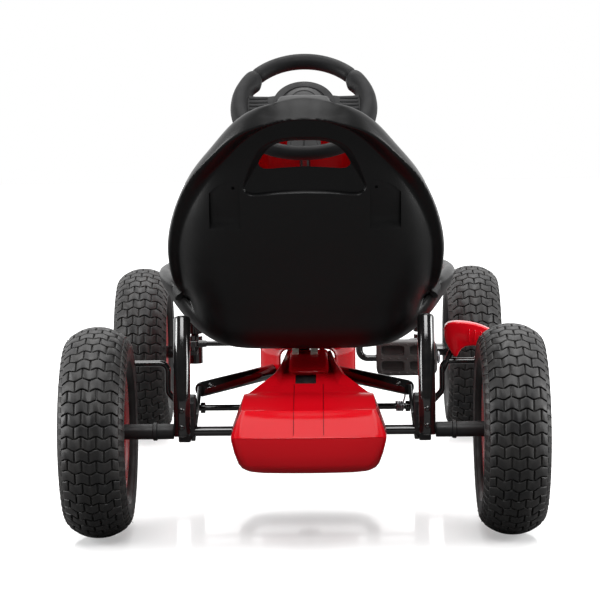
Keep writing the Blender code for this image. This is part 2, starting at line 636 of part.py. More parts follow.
# ---- brake -------------------------------------------------------------------------------------
def brake():
    """Rod across the kart whose raised ends press on the rear tyres, and its hand lever."""
    origin = Vector((0.0, back(BRAKE_BACK), BRAKE_Z))
    rise = BRAKE_ARM_Z - BRAKE_Z
    half = [(0.158, 0.0), (BRAKE_BEND_X - 0.004, rise * 0.35), (BRAKE_BEND_X - 0.004, rise)]
    path = [(-BRAKE_END_X, 0.0, rise)] + [(-x, 0.0, z) for x, z in reversed(half)]
    path += [(x, 0.0, z) for x, z in half] + [(BRAKE_END_X, 0.0, rise)]
    rod = bar(rounded(path, 0.010), BRAKE_RADIUS)
    lever = bar(((BRAKE_BEND_X - 0.004, 0, rise - 0.014), (0.1915, 0, 0.2195 - BRAKE_Z)),
                BRAKE_RADIUS)
    joined("brake_rod", [rod, lever], BLACK_PAINT, origin)
    grip = ((0.1785, 0.2405), (0.1820, 0.2465), (0.1890, 0.2490), (0.2040, 0.2490),
            (0.2200, 0.2460), (0.2350, 0.2400), (0.2460, 0.2340), (0.2420, 0.2220),
            (0.2350, 0.2150), (0.2240, 0.2175), (0.2120, 0.2180), (0.2030, 0.2165),
            (0.1978, 0.2110), (0.1940, 0.2045), (0.1905, 0.2050), (0.1800, 0.2215))
    outline = [(x, z - BRAKE_Z) for x, z in grip]
    item = new_object("brake_handle", prism(outline, "Y", -0.012, 0.012), RED, origin)
    start = Vector((BRAKE_BEND_X - 0.004, 0, rise - 0.014))
    tip = Vector((0.1915, 0, 0.2195 - BRAKE_Z))
    hole = bar((start, tip + (tip - start).normalized() * GAP), BRAKE_RADIUS + GAP)
    boolean(item, new_object("socket", hole, RED, origin), "DIFFERENCE")
    spring = washer(BRAKE_RADIUS + 0.0006, 0.0072, 0.1045, 0.1260, 12)
    new_object("return_spring", spring, STEEL, origin)


# ---- covers ------------------------------------------------------------------------------------
def rear_cover_lower():
    """Tub under the axle, open at its top and front."""
    stations = ((-0.083, 0.0845, 0.118), (-0.078, 0.089, 0.104), (-0.064, 0.092, 0.0925),
                (-0.040, 0.0925, 0.088), (0.050, 0.088, 0.089), (0.105, 0.066, 0.096))
    seam = 0.1347

    def section(y, half, low, top):
        depth = seam - low
        right = ((half, top), (half - 0.004, low + 0.5 * depth), (half - 0.012, low + 0.12 * depth),
                 (half - 0.022, low))
        return [(x, back(y), z) for x, z in mirrored(right)]
    outer = loft([section(y, half, low, seam) for y, half, low in stations])
    item = new_object("rear_cover_lower", outer, RED)
    inner = [section(y + COVER_WALL, half - COVER_WALL, low + COVER_WALL, seam + 0.01)
             for y, half, low in stations[:-1]]
    inner.append(section(0.140, 0.052, 0.099, seam + 0.01))
    boolean(item, new_object("inside", loft(inner), RED), "DIFFERENCE")
    axle_hole(item)


def axle_hole(item):
    hole = bar(((-0.2, REAR_Y, AXLE_Z), (0.2, REAR_Y, AXLE_Z)), 0.0095, 16)
    boolean(item, new_object("hole", hole, RED), "DIFFERENCE")


def rear_cover_upper():
    """Hipped deck over the axle that narrows into a neck over the chain; open below."""
    seam = 0.1350
    deck = ((-0.085, 0.0845, 0.1400), (-0.079, 0.0905, 0.1430), (-0.030, 0.0925, 0.1655),
            (0.030, 0.0885, 0.1775), (0.075, 0.0720, 0.1815), (0.112, 0.0420, 0.1830))
    neck = ((0.000, 0.0350, 0.1700), (0.080, 0.0335, 0.1950), (0.115, 0.0320, 0.2080),
            (0.138, 0.0310, 0.2150))

    def deck_section(y, half, top, low):
        right = ((half, low), (half, max(low + 0.002, top - 0.008)), (half - 0.010, top))
        return [(x, back(y), z) for x, z in mirrored(right)]

    def neck_section(y, half, top, low):
        right = ((half + 0.003, low), (half - 0.001, max(low + 0.002, top - 0.018)),
                 (half - 0.009, top))
        return [(x, back(y), z) for x, z in mirrored(right)]
    outer = joined("rear_cover_upper",
                   [loft([deck_section(*station, seam) for station in deck]),
                    loft([neck_section(*station, 0.1540) for station in neck])], RED)
    room = [deck_section(y + COVER_WALL, half - COVER_WALL, top - COVER_WALL, seam - 0.01)
            for y, half, top in deck[1:-1]]
    room.append(deck_section(0.125, 0.0340, 0.1795, seam - 0.01))
    boolean(outer, new_object("inside", loft(room), RED), "DIFFERENCE")
    bore = [neck_section(y + COVER_WALL, half - COVER_WALL, top - COVER_WALL, 0.1400)
            for y, half, top in neck[:-1]]
    bore.append(neck_section(0.165, 0.0285, 0.2160, 0.1400))
    boolean(outer, new_object("inside", loft(bore), RED), "DIFFERENCE")
    axle_hole(outer)


def channel_section(half, low, high, corner, wall):
    """Closed outline of a bent sheet: outside up, over and down, then back along the inside."""
    right = ((half, low), (half, high - corner), (half - 0.3 * corner, high - 0.3 * corner),
             (half - corner, high))
    outer = mirrored(right)
    inner = mirrored([(x - wall, z - (wall if z > low else 0.0)) for x, z in right])
    return outer + inner[::-1]


def body_cover():
    """Cover over the backbone, chain and chainring, open below, with slots for the crank."""
    stations = ((-0.212, 0.0580, 0.2200), (-0.190, 0.0625, 0.2230), (-0.065, 0.0625, 0.2545),
                (0.060, 0.0625, 0.2960), (0.120, 0.0600, 0.3050), (0.168, 0.0560, 0.3060))
    sections = []
    for y, half, top in stations:
        outline = channel_section(half, 0.1660, top, 0.020, COVER_WALL)
        sections.append([(x, y, z) for x, z in outline])
    item = new_object("body_cover", loft(sections), RED)
    hole = bar(((-0.2, CRANK_Y, CRANK_Z), (0.2, CRANK_Y, CRANK_Z)), 0.010, 16)
    boolean(item, new_object("hole", hole, RED), "DIFFERENCE")


def front_shield():
    """Sloping fairing in front of the steering column, open towards the driver."""
    stations = ((0.045, 0.062, 0.046), (0.150, 0.066, 0.050), (0.300, 0.070, 0.052),
                (0.395, 0.066, 0.050), (0.415, 0.058, 0.046))
    sections = []
    for along, half, depth in stations:
        outline = channel_section(half, -0.006, depth, 0.022, COVER_WALL)
        sections.append([column_point(along, up, x) for x, up in outline])
    new_object("front_shield", loft(sections), RED)


def nose():
    """Hood in front of the front beam, inside the bumper, open below and behind."""
    stations = ((0.376, 0.0740, 0.2500), (0.430, 0.0780, 0.2280), (0.472, 0.0740, 0.2060),
                (0.490, 0.0640, 0.1960))
    low = 0.1900

    def section(y, half, top):
        right = ((half, low), (half, max(low + 0.002, top - 0.014)), (half - 0.014, top))
        return [(x, y, z) for x, z in mirrored(right)]
    item = new_object("nose", loft([section(*station) for station in stations]), RED)

    def room(y, half, top):
        right = ((half, low - 0.02), (half, max(low + 0.001, top - 0.014)), (half - 0.014, top))
        return [(x, y, z) for x, z in mirrored(right)]
    inside = [room(0.360, 0.0715, 0.2540)]
    inside += [room(y - COVER_WALL, half - COVER_WALL, top - COVER_WALL)
               for y, half, top in stations[1:]]
    boolean(item, new_object("inside", loft(inside), RED), "DIFFERENCE")


# ---- seat --------------------------------------------------------------------------------------
# Stations down the middle of the seat's outside: distance forwards of the rear axle, height,
# half width, and how far the edges stand forward of the middle.
SEAT_STATIONS = (
    (-0.130, 0.5435, 0.036, 0.004), (-0.127, 0.5320, 0.058, 0.010), (-0.120, 0.5110, 0.084, 0.018),
    (-0.110, 0.4840, 0.109, 0.028), (-0.095, 0.4500, 0.136, 0.040), (-0.077, 0.4050, 0.157, 0.052),
    (-0.058, 0.3600, 0.1655, 0.062), (-0.038, 0.3150, 0.1605, 0.070), (-0.020, 0.2760, 0.152, 0.076),
    (-0.006, 0.2480, 0.150, 0.080), (0.018, 0.2360, 0.156, 0.078), (0.060, 0.2350, 0.172, 0.076),
    (0.130, 0.2390, 0.188, 0.072), (0.210, 0.2480, 0.189, 0.062), (0.290, 0.2610, 0.178, 0.044),
    (0.335, 0.2680, 0.155, 0.024))
SEAT_COLUMNS = (-1.0, -0.965, -0.90, -0.80, -0.55, 0.0, 0.55, 0.80, 0.90, 0.965, 1.0)
SEAT_CURL = 6.0              # how late the sides turn forward
SEAT_BASE_START = -0.045     # behind here the sides stand straight forward, and ahead
SEAT_BASE_END = -0.005       # of here they stand up from the seat's bottom


def seat_rows():
    middle = [Vector((0.0, back(y), z)) for y, z, _, _ in SEAT_STATIONS]
    rows = []
    for index, (_, _, half, rise) in enumerate(SEAT_STATIONS):
        ahead = middle[min(index + 1, len(middle) - 1)]
        behind = middle[max(index - 1, 0)]
        along = (ahead - behind).normalized()
        normal = Vector((1.0, 0.0, 0.0)).cross(along) * -1.0
        if normal.y + normal.z < 0.0:
            normal.negate()
        progress = (SEAT_STATIONS[index][0] - SEAT_BASE_START) / (SEAT_BASE_END - SEAT_BASE_START)
        normal.z *= min(max(progress, 0.0), 1.0)
        normal.normalize()
        rows.append([middle[index] + Vector((half * share, 0.0, 0.0))
                     + normal * (rise * abs(share) ** SEAT_CURL) for share in SEAT_COLUMNS])
    return rows


def seat():
    """Blown bucket seat with a handle opening near the top of its back."""
    builder = bmesh.new()
    grid = [[builder.verts.new(point) for point in row] for row in seat_rows()]
    for row, after in zip(grid, grid[1:]):
        for column in range(len(row) - 1):
            builder.faces.new((row[column], row[column + 1], after[column + 1], after[column]))
    item = new_object("seat", builder, BLACK_PLASTIC, sharp=60.0)
    thick = item.modifiers.new("thickness", "SOLIDIFY")
    thick.thickness = SEAT_THICKNESS
    thick.offset = 1.0 if item.data.polygons[0].normal.y > 0.0 else -1.0
    thick.use_even_offset = True
    outline = mirrored(((0.030, 0.494), (0.052, 0.480), (0.066, 0.454), (0.070, 0.430)))
    opening = prism(outline, "Y", back(-0.25), back(0.05))
    boolean(item, new_object("opening", opening, BLACK_PLASTIC), "DIFFERENCE")


def main():
    clear_scene()
    wheel("rear", REAR_Y)
    wheel("front", FRONT_Y)
    rear_axle()
    toothed_disc("rear_sprocket", SPROCKET_TEETH, BORE_RADIUS, (0.0, REAR_Y, AXLE_Z))
    toothed_disc("chainring", CHAINRING_TEETH, CRANK_RADIUS + 0.0004, (0.0, CRANK_Y, CRANK_Z))
    chain()
    backbone()
    front_channel()
    front_beam()
    bumper()
    cross_tubes()
    side_plates()
    axle_blocks()
    seat_uprights()
    seat_bracket()
    column_supports()
    crank_housing()
    knuckles()
    tie_rod()
    steering_column()
    steering_wheel()
    crank()
    brake()
    rear_cover_lower()
    rear_cover_upper()
    body_cover()
    front_shield()
    nose()
    seat()


main()
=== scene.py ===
"""Looks of a child's pedal go kart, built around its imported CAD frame. Units are metres."""
import json
import math
import random

import bmesh
import bpy
import numpy as np
from mathutils import Matrix, Vector


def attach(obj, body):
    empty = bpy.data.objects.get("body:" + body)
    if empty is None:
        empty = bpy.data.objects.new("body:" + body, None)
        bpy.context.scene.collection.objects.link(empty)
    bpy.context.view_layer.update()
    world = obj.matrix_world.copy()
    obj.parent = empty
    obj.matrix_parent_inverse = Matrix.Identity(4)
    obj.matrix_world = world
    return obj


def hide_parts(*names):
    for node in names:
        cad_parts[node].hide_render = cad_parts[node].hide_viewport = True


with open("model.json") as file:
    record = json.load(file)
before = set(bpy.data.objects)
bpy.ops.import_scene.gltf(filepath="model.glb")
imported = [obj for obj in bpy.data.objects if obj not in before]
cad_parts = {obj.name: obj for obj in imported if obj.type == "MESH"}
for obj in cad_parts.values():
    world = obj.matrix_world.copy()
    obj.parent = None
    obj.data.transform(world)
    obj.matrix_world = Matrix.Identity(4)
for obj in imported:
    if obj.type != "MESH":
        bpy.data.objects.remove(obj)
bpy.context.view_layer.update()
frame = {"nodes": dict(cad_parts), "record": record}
NODES = frame["nodes"]
random.seed(7)

REAR_Y = -0.395
FRONT_Y = 0.355
AXLE_Z = 0.130
HALF_TRACK = 0.254
KINGPIN_X = 0.176
WHEEL_RADIUS = 0.130
BLOCK_X = 0.148                # the axle blocks, which carry the rear axle
AXLE_BORE = 0.0064             # radius of the holes that the 12 mm axles run in
BEAM_Z = 0.185                 # the front beam, and the bumper's ends on it
TIE_ROD_Y = FRONT_Y - 0.060
TIE_ROD_Z = 0.150
BRAKE_Y = REAR_Y + 0.1225
BRAKE_Z = 0.140
BRAKE_HIGH_Z = 0.198           # the rod's raised ends, in front of the rear tyres
COLUMN_DIRECTION = Vector((0.0, -math.sqrt(0.5), math.sqrt(0.5)))
COLUMN_UP = Vector((0.0, math.sqrt(0.5), math.sqrt(0.5)))
COLUMN_FOOT = Vector((0.0, TIE_ROD_Y, TIE_ROD_Z)) + COLUMN_UP * 0.060
CRANK_Y = 0.115
CRANK_Z = 0.240
PEDAL_THROW = 0.090
CHAIN_PITCH = 0.0127
CHAIN_X = 0.022
SIDES = (("left", -1.0), ("right", 1.0))
X_AXIS = Vector((1.0, 0.0, 0.0))
Z_AXIS = Vector((0.0, 0.0, 1.0))
BODY_OF = {node: body for body, members in frame["record"]["behaviour"]["bodies"].items()
           for node in members}


def back(y):
    """Y of a point that lies a distance forwards of the rear axle."""
    return REAR_Y + y


def around(side, other, turn):
    """Unit direction at an angle from side towards other."""
    return side * math.cos(turn) + other * math.sin(turn)


# ---- materials ---------------------------------------------------------------------------------
def added(nodes, kind, **inputs):
    """New node with values for its inputs, whose names have underscores for spaces."""
    node = nodes.new(kind)
    for name, value in inputs.items():
        node.inputs[name.replace("_", " ")].default_value = value
    return node


def procedural(name, base, second, roughness, rough_spread, metallic=0.0, coat=0.0,
               patch_scale=9.0, grain_scale=900.0, grain_depth=0.0002, worn=None, worn_width=0.06,
               dust=0.0, specular=0.5):
    """Material with patchy colour, uneven gloss, a fine grain and lighter worn edges."""
    material = bpy.data.materials.new(name)
    material.use_nodes = True
    tree = material.node_tree
    nodes, links = tree.nodes, tree.links
    shader = nodes["Principled BSDF"]
    shader.inputs["Metallic"].default_value = metallic
    shader.inputs["Coat Weight"].default_value = coat
    shader.inputs["Coat Roughness"].default_value = 0.06
    shader.inputs["Specular IOR Level"].default_value = specular
    place = nodes.new("ShaderNodeTexCoord")

    def noise(scale, detail, distortion=0.0):
        node = added(nodes, "ShaderNodeTexNoise", Scale=scale, Detail=detail, Distortion=distortion)
        links.new(place.outputs["Object"], node.inputs["Vector"])
        return node.outputs["Fac"]

    def ramp(value, low, high):
        node = added(nodes, "ShaderNodeMapRange", From_Min=0.35, From_Max=0.65, To_Min=low,
                     To_Max=high)
        links.new(value, node.inputs["Value"])
        return node.outputs["Result"]

    def mixed(factor, first, other):
        node = nodes.new("ShaderNodeMix")
        node.data_type = "RGBA"
        links.new(factor, node.inputs["Factor"])
        for socket, value in (("A", first), ("B", other)):
            target = [s for s in node.inputs if s.name == socket and s.type == "RGBA"][0]
            if isinstance(value, tuple):
                target.default_value = (*value, 1.0)
            else:
                links.new(value, target)
        return [s for s in node.outputs if s.type == "RGBA"][0]

    colour = mixed(ramp(noise(patch_scale, 6.0, 0.6), 0.0, 1.0), base, second)
    if worn:
        geometry = nodes.new("ShaderNodeNewGeometry")
        edge = added(nodes, "ShaderNodeMapRange", From_Min=0.5 + worn_width,
                     From_Max=0.5 + 3.0 * worn_width)
        links.new(geometry.outputs["Pointiness"], edge.inputs["Value"])
        broken = nodes.new("ShaderNodeMath")
        broken.operation = "MULTIPLY"
        links.new(edge.outputs["Result"], broken.inputs[0])
        links.new(ramp(noise(140.0, 4.0), 0.0, 0.8), broken.inputs[1])
        colour = mixed(broken.outputs["Value"], colour, worn)
    if dust:
        specks = ramp(noise(60.0, 8.0), 0.0, dust)
        colour = mixed(specks, colour, (0.16, 0.145, 0.13))
    links.new(colour, shader.inputs["Base Color"])
    links.new(ramp(noise(28.0, 7.0, 1.5), roughness - rough_spread, roughness + rough_spread),
              shader.inputs["Roughness"])
    bump = added(nodes, "ShaderNodeBump", Strength=0.35, Distance=grain_depth)
    links.new(noise(grain_scale, 3.0), bump.inputs["Height"])
    links.new(bump.outputs["Normal"], shader.inputs["Normal"])
    return material


RED = procedural("gloss_red_plastic", (0.62, 0.0030, 0.0095), (0.60, 0.0028, 0.009), 0.13, 0.012,
                 coat=0.0, specular=0.22, grain_scale=1400.0, grain_depth=0.00002, worn=(0.62, 0.03, 0.03),
                 worn_width=0.14, patch_scale=5.0)
# dark red of the cover's fine strips: painted shade standing in for the shadow inside moulded grooves
GROOVE_SHADE_RED = procedural("painted_groove_shade_red", (0.105, 0.0012, 0.0030), (0.095, 0.0010, 0.0026), 0.45,
                      0.04, specular=0.1)
RIM_RED = procedural("rim_red", (0.50, 0.004, 0.010), (0.44, 0.003, 0.008), 0.26, 0.07, coat=0.2,
                     grain_scale=1200.0, grain_depth=0.00005, worn=(0.6, 0.06, 0.06),
                     worn_width=0.10, dust=0.05)
RUBBER = procedural("tyre_rubber", (0.0085, 0.0085, 0.009), (0.013, 0.0125, 0.0125), 0.50, 0.08,
                    grain_scale=1500.0, grain_depth=0.0002, worn=(0.05, 0.049, 0.047),
                    worn_width=0.05, dust=0.05, patch_scale=30.0, specular=0.35)
SEAT_BLACK = procedural("seat_blown_plastic", (0.0024, 0.0024, 0.0026), (0.0032, 0.0032, 0.0034),
                        0.40, 0.03, grain_scale=750.0, grain_depth=0.0002,
                        worn=(0.022, 0.022, 0.023), worn_width=0.12, specular=0.24)
WHEEL_GREY = procedural("steering_wheel_plastic", (0.0085, 0.0085, 0.009), (0.0115, 0.0115, 0.012),
                        0.50, 0.06, grain_scale=1100.0, grain_depth=0.0003,
                        worn=(0.03, 0.03, 0.03), worn_width=0.08, specular=0.14)
BLACK_PLASTIC = procedural("black_moulded_plastic", (0.012, 0.012, 0.0125), (0.018, 0.018, 0.019),
                           0.42, 0.08, grain_scale=1000.0, grain_depth=0.00022,
                           worn=(0.05, 0.05, 0.05), worn_width=0.07, dust=0.03, specular=0.25)
PEDAL_PLASTIC = procedural("pedal_plastic", (0.026, 0.023, 0.023), (0.036, 0.032, 0.032),
                           0.38, 0.08, grain_scale=1000.0, grain_depth=0.0002,
                           worn=(0.10, 0.095, 0.095), worn_width=0.06, dust=0.10)
PAINT = procedural("gloss_black_paint", (0.0060, 0.0060, 0.0064), (0.0085, 0.0085, 0.009), 0.14,
                   0.05, coat=0.5, grain_scale=500.0, grain_depth=0.00008,
                   worn=(0.12, 0.12, 0.125), worn_width=0.14, dust=0.04)
ZINC = procedural("zinc_plated_steel", (0.52, 0.52, 0.54), (0.40, 0.40, 0.42), 0.34, 0.10,
                  metallic=1.0, patch_scale=60.0, grain_scale=700.0, grain_depth=0.00015,
                  worn=(0.75, 0.75, 0.76), worn_width=0.08, dust=0.04)
CHAIN_STEEL = procedural("oiled_chain_steel", (0.10, 0.095, 0.09), (0.05, 0.047, 0.044), 0.33,
                         0.12, metallic=1.0, patch_scale=120.0, grain_scale=800.0,
                         grain_depth=0.0002, worn=(0.4, 0.39, 0.38), worn_width=0.06, dust=0.08)
PALE_PLASTIC = procedural("pale_plastic", (0.90, 0.84, 0.74), (0.86, 0.80, 0.70), 0.35, 0.05,
                          grain_scale=900.0, grain_depth=0.0001)
SLOT_FINISH = {"red_plastic": RED, "red_rim": RIM_RED, "tyre": RUBBER, "tube_rubber": RUBBER,
               "seat_plastic": SEAT_BLACK, "wheel_plastic": WHEEL_GREY,
               "black_plastic": BLACK_PLASTIC, "zinc_steel": ZINC, "black_paint": PAINT}


# ---- mesh helpers ------------------------------------------------------------------------------
def finish_mesh(builder, name, material, sharp=35.0, recalc=True):
    """Object from a finished builder: smooth, with sharp edges past an angle in degrees."""
    if recalc:
        bmesh.ops.recalc_face_normals(builder, faces=builder.faces[:])
    mesh = bpy.data.meshes.new(name)
    builder.to_mesh(mesh)
    builder.free()
    mesh.materials.append(material)
    mesh.shade_smooth()
    item = bpy.data.objects.new(name, mesh)
    bpy.context.scene.collection.objects.link(item)
    return sharpened(item, sharp)


def mount(item, body, slot, *replaced):
    """Body that a piece rides and the CAD nodes that it replaces; the material slot is not used."""
    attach(item, body)
    if replaced:
        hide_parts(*replaced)
    return item


def shifted(item, x):
    """The item with its whole mesh moved sideways."""
    item.data.transform(Matrix.Translation((x, 0.0, 0.0)))
    return item


def softened(item, width, segments, angle=28.0):
    """Rounded edges: a bevel that is applied."""
    bevel = item.modifiers.new("bevel", "BEVEL")
    bevel.width = width
    bevel.segments = segments
    bevel.limit_method = "ANGLE"
    bevel.angle_limit = math.radians(angle)
    bevel.harden_normals = False
    return applied(item)


def sharpened(item, angle):
    """The item with its edges sharp past an angle in degrees."""
    item.data.set_sharp_from_angle(angle=math.radians(angle))
    return item


def applied(item, sharp=35.0):
    """The item with its modifiers turned into mesh."""
    bpy.context.view_layer.update()
    depsgraph = bpy.context.evaluated_depsgraph_get()
    mesh = bpy.data.meshes.new_from_object(item.evaluated_get(depsgraph))
    item.modifiers.clear()
    old = item.data
    item.data = mesh
    bpy.data.meshes.remove(old)
    mesh.shade_smooth()
    return sharpened(item, sharp)


def boolean(item, cutter):
    """The item less the cutter, which is removed."""
    modifier = item.modifiers.new("boolean", "BOOLEAN")
    modifier.operation = "DIFFERENCE"
    modifier.object = cutter
    applied(item)
    bpy.data.objects.remove(cutter, do_unlink=True)
    return item


def bored(item, radius, sides, centre, axis=X_AXIS, reach=0.2):
    """Round hole through a piece, along the line through centre."""
    builder = turned(bmesh.new(), [(-reach, radius), (reach, radius)], sides, centre, axis)
    return boolean(item, finish_mesh(builder, "hole", PAINT))


def joined(builder, item):
    """A finished item's mesh added to a builder, and the item removed."""
    builder.from_mesh(item.data)
    bpy.data.objects.remove(item, do_unlink=True)


def skin(builder, rings, closed_ring=True, closed_path=False, caps=True):
    """Faces between successive rings of points, with end caps on an open path."""
    verts = [[builder.verts.new(point) for point in ring] for ring in rings]
    pairs = list(zip(verts, verts[1:]))
    if closed_path:
        pairs.append((verts[-1], verts[0]))
    for ring, after in pairs:
        count = len(ring) if closed_ring else len(ring) - 1
        for index in range(count):
            following = (index + 1) % len(ring)
            builder.faces.new((ring[index], ring[following], after[following], after[index]))
    if caps and not closed_path and closed_ring:
        builder.faces.new(verts[0][::-1])
        builder.faces.new(verts[-1])
    return verts


def lathe(builder, profile, steps, centre, axis):
    """Ring of a closed (along, radius) profile turned about an axis through centre."""
    centre = Vector(centre)
    side = axis.orthogonal().normalized()
    other = axis.cross(side)
    rings = []
    for step in range(steps):
        out = around(side, other, math.tau * step / steps)
        rings.append([centre + axis * along + out * radius for along, radius in profile])
    skin(builder, rings, closed_path=True)
    return builder


def ring_profile(low, high, bore, radius, edge=0.0008, fall=0.0008):
    """Profile of a ring whose outer edges slope over the length edge and the depth fall."""
    return [(low, bore), (low, radius - fall), (low + edge, radius), (high - edge, radius),
            (high, radius - fall), (high, bore)]


def turned(builder, profile, steps, centre, axis):
    """Solid of an open (along, radius) profile whose ends lie on the axis."""
    centre, axis = Vector(centre), Vector(axis).normalized()
    side = axis.orthogonal().normalized()
    other = axis.cross(side)
    rings = []
    for along, radius in profile:
        rings.append([centre + axis * along + radius * around(side, other, math.tau * k / steps)
                      for k in range(steps)])
    skin(builder, rings)
    return builder


def spline(points, per_span):
    """Smooth line through points of any size of tuple (Catmull-Rom)."""
    points = [np.array(p, float) for p in points]
    padded = [2 * points[0] - points[1], *points, 2 * points[-1] - points[-2]]
    line = []
    for p0, p1, p2, p3 in zip(padded, padded[1:], padded[2:], padded[3:]):
        for step in range(per_span):
            t = step / per_span
            line.append(0.5 * (2 * p1 + (p2 - p0) * t + (2 * p0 - 5 * p1 + 4 * p2 - p3) * t ** 2
                               + (3 * p1 - p0 - 3 * p2 + p3) * t ** 3))
    line.append(points[-1])
    return line


def rounded(points, bend, steps=8):
    """Path whose inner corners are arcs of the given bend radius."""
    points = [Vector(point) for point in points]
    path = [points[0]]
    for before, corner, after in zip(points, points[1:], points[2:]):
        into = (before - corner).normalized()
        out = (after - corner).normalized()
        half = into.angle(out) / 2.0
        centre = corner + (into + out).normalized() * (bend / math.sin(half))
        start = corner + into * (bend / math.tan(half)) - centre
        turn = math.pi - 2.0 * half
        axis = into.cross(out).normalized()
        for step in range(steps + 1):
            path.append(centre + Matrix.Rotation(-turn * step / steps, 3, axis) @ start)
    path.append(points[-1])
    return path


# distance from a bar's end and loss of radius there, as shares of the rounding
END_ROUNDING = ((0.0, 1.0), (0.3, 0.3), (1.0, 0.0))


def tube(builder, path, radius, sides, round_ends=0.0015):
    """Round bar along a path, with its end edges rounded off."""
    path = [Vector(point) for point in path]
    tangents = []
    for index in range(len(path)):
        ahead, behind = path[min(index + 1, len(path) - 1)], path[max(index - 1, 0)]
        tangents.append((ahead - behind).normalized())
    side = tangents[0].orthogonal().normalized()
    rings = []

    def ring(point, tangent, inset):
        other = tangent.cross(side)
        return [point + (radius - inset) * around(side, other, math.tau * k / sides)
                for k in range(sides)]
    for index, (point, tangent) in enumerate(zip(path, tangents)):
        side = (side - tangent * side.dot(tangent)).normalized()
        if index == 0:
            rings += [ring(point + tangent * along * round_ends, tangent, inset * round_ends)
                      for along, inset in END_ROUNDING]
        elif index == len(path) - 1:
            rings += [ring(point - tangent * along * round_ends, tangent, inset * round_ends)
                      for along, inset in reversed(END_ROUNDING)]
        else:
            rings.append(ring(point, tangent, 0.0))
    skin(builder, rings)
    return builder


def slab(outline, low, high):
    """Builder of a plate from low to high X, its outline given as (y, z) from the rear axle."""
    builder = bmesh.new()
    skin(builder, [[Vector((x, back(y), z)) for y, z in outline] for x in (low, high)])
    return builder


def box(builder, low, high):
    corners = ((low[0], low[1]), (high[0], low[1]), (high[0], high[1]), (low[0], high[1]))
    skin(builder, [[Vector((x, y, z)) for x, y in corners] for z in (low[2], high[2])])


def mirrored(half_ring):
    """Whole line from its half, which ends on the middle plane."""
    return half_ring + [Vector((-p.x, p.y, p.z)) for p in reversed(half_ring[:-1])]


def hexagon(builder, centre, axis, across, height, bore=0.0, turn=0.0):
    """Hexagon nut or bolt head with rounded corners at its outer face."""
    radius = across / math.sqrt(3.0)
    centre, axis = Vector(centre), Vector(axis).normalized()
    side = Matrix.Rotation(turn, 3, axis) @ axis.orthogonal().normalized()
    other = axis.cross(side)
    rings = []
    for along, share in ((0.0, 0.97), (0.0008, 1.0), (height - 0.0012, 1.0), (height, 0.90)):
        ring = []
        for corner in range(6):
            for shift in (-0.10, 0.10):
                angle = math.tau * (corner + shift) / 6.0
                reach = radius * share * (0.975 if share == 1.0 else 0.97)
                ring.append(centre + axis * along + reach * around(side, other, angle))
        rings.append(ring)
    skin(builder, rings)
    if bore:
        turned(builder, [(height - 0.0004, 0.0), (height - 0.0004, bore), (height + 0.0016, bore),
                         (height + 0.0022, bore - 0.0008), (height + 0.0022, 0.0001)], 16,
               centre, axis)
    return builder


def smoothstep(low, high, value):
    t = min(max((value - low) / (high - low), 0.0), 1.0)
    return t * t * (3.0 - 2.0 * t)


# ---- tyres -------------------------------------------------------------------------------------
TREAD_ROWS = 56
TREAD_HALF = 0.035
BLOCK_WIDTH = 0.0175
GROOVE = 0.0018
GROOVE_DEPTH = 0.0032
MOULDING_HAIRS = 26


def on_wheel_face(centre, x, radius, angle):
    """Point of a road wheel: x sideways from its middle plane, at an angle back from its top."""
    return centre + Vector((x, -radius * math.sin(angle), radius * math.cos(angle)))


def crown(u):
    """Radius of the tread's surface at a distance u from the middle plane."""
    return WHEEL_RADIUS - 0.0130 * (abs(u) / TREAD_HALF) ** 2.2


def zigzag(u):
    """Rounded zigzag of the cross grooves, as a shift along the tyre's circumference."""
    phase = (u / BLOCK_WIDTH) % 1.0
    return 0.00175 * math.cos(math.tau * phase)


def tread_block(builder, low, high, row, centre):
    """One block between two cross grooves: draft sides, a rounded edge and a flat top."""
    pitch = math.tau * WHEEL_RADIUS / TREAD_ROWS
    columns = 6 if high - low > 0.6 * BLOCK_WIDTH else 4
    middle = (low + high) / 2.0
    v_low, v_high = row * pitch + GROOVE / 2.0, (row + 1) * pitch - GROOVE / 2.0

    def point(u, v, sink):
        return on_wheel_face(centre, u, crown(u) - sink, v / WHEEL_RADIUS)

    def loop(grow, sink):
        us = [low + (high - low) * k / (columns - 1) for k in range(columns)]
        us = [middle + (u - middle) * (1.0 + 2.0 * grow / (high - low)) for u in us]
        lower = [point(u, v_low - grow + zigzag(u), sink) for u in us]
        upper = [point(u, v_high + grow + zigzag(u), sink) for u in us]
        return lower + upper[::-1]
    rings = [loop(0.0005, GROOVE_DEPTH + 0.0006), loop(0.0, 0.0009), loop(-0.0003, 0.0003),
             loop(-0.0009, 0.0)]
    base, *_, top = skin(builder, rings, caps=False)
    for index in range(columns - 1):
        builder.faces.new((top[index], top[index + 1], top[-2 - index], top[-1 - index]))
    builder.faces.new(base[::-1])


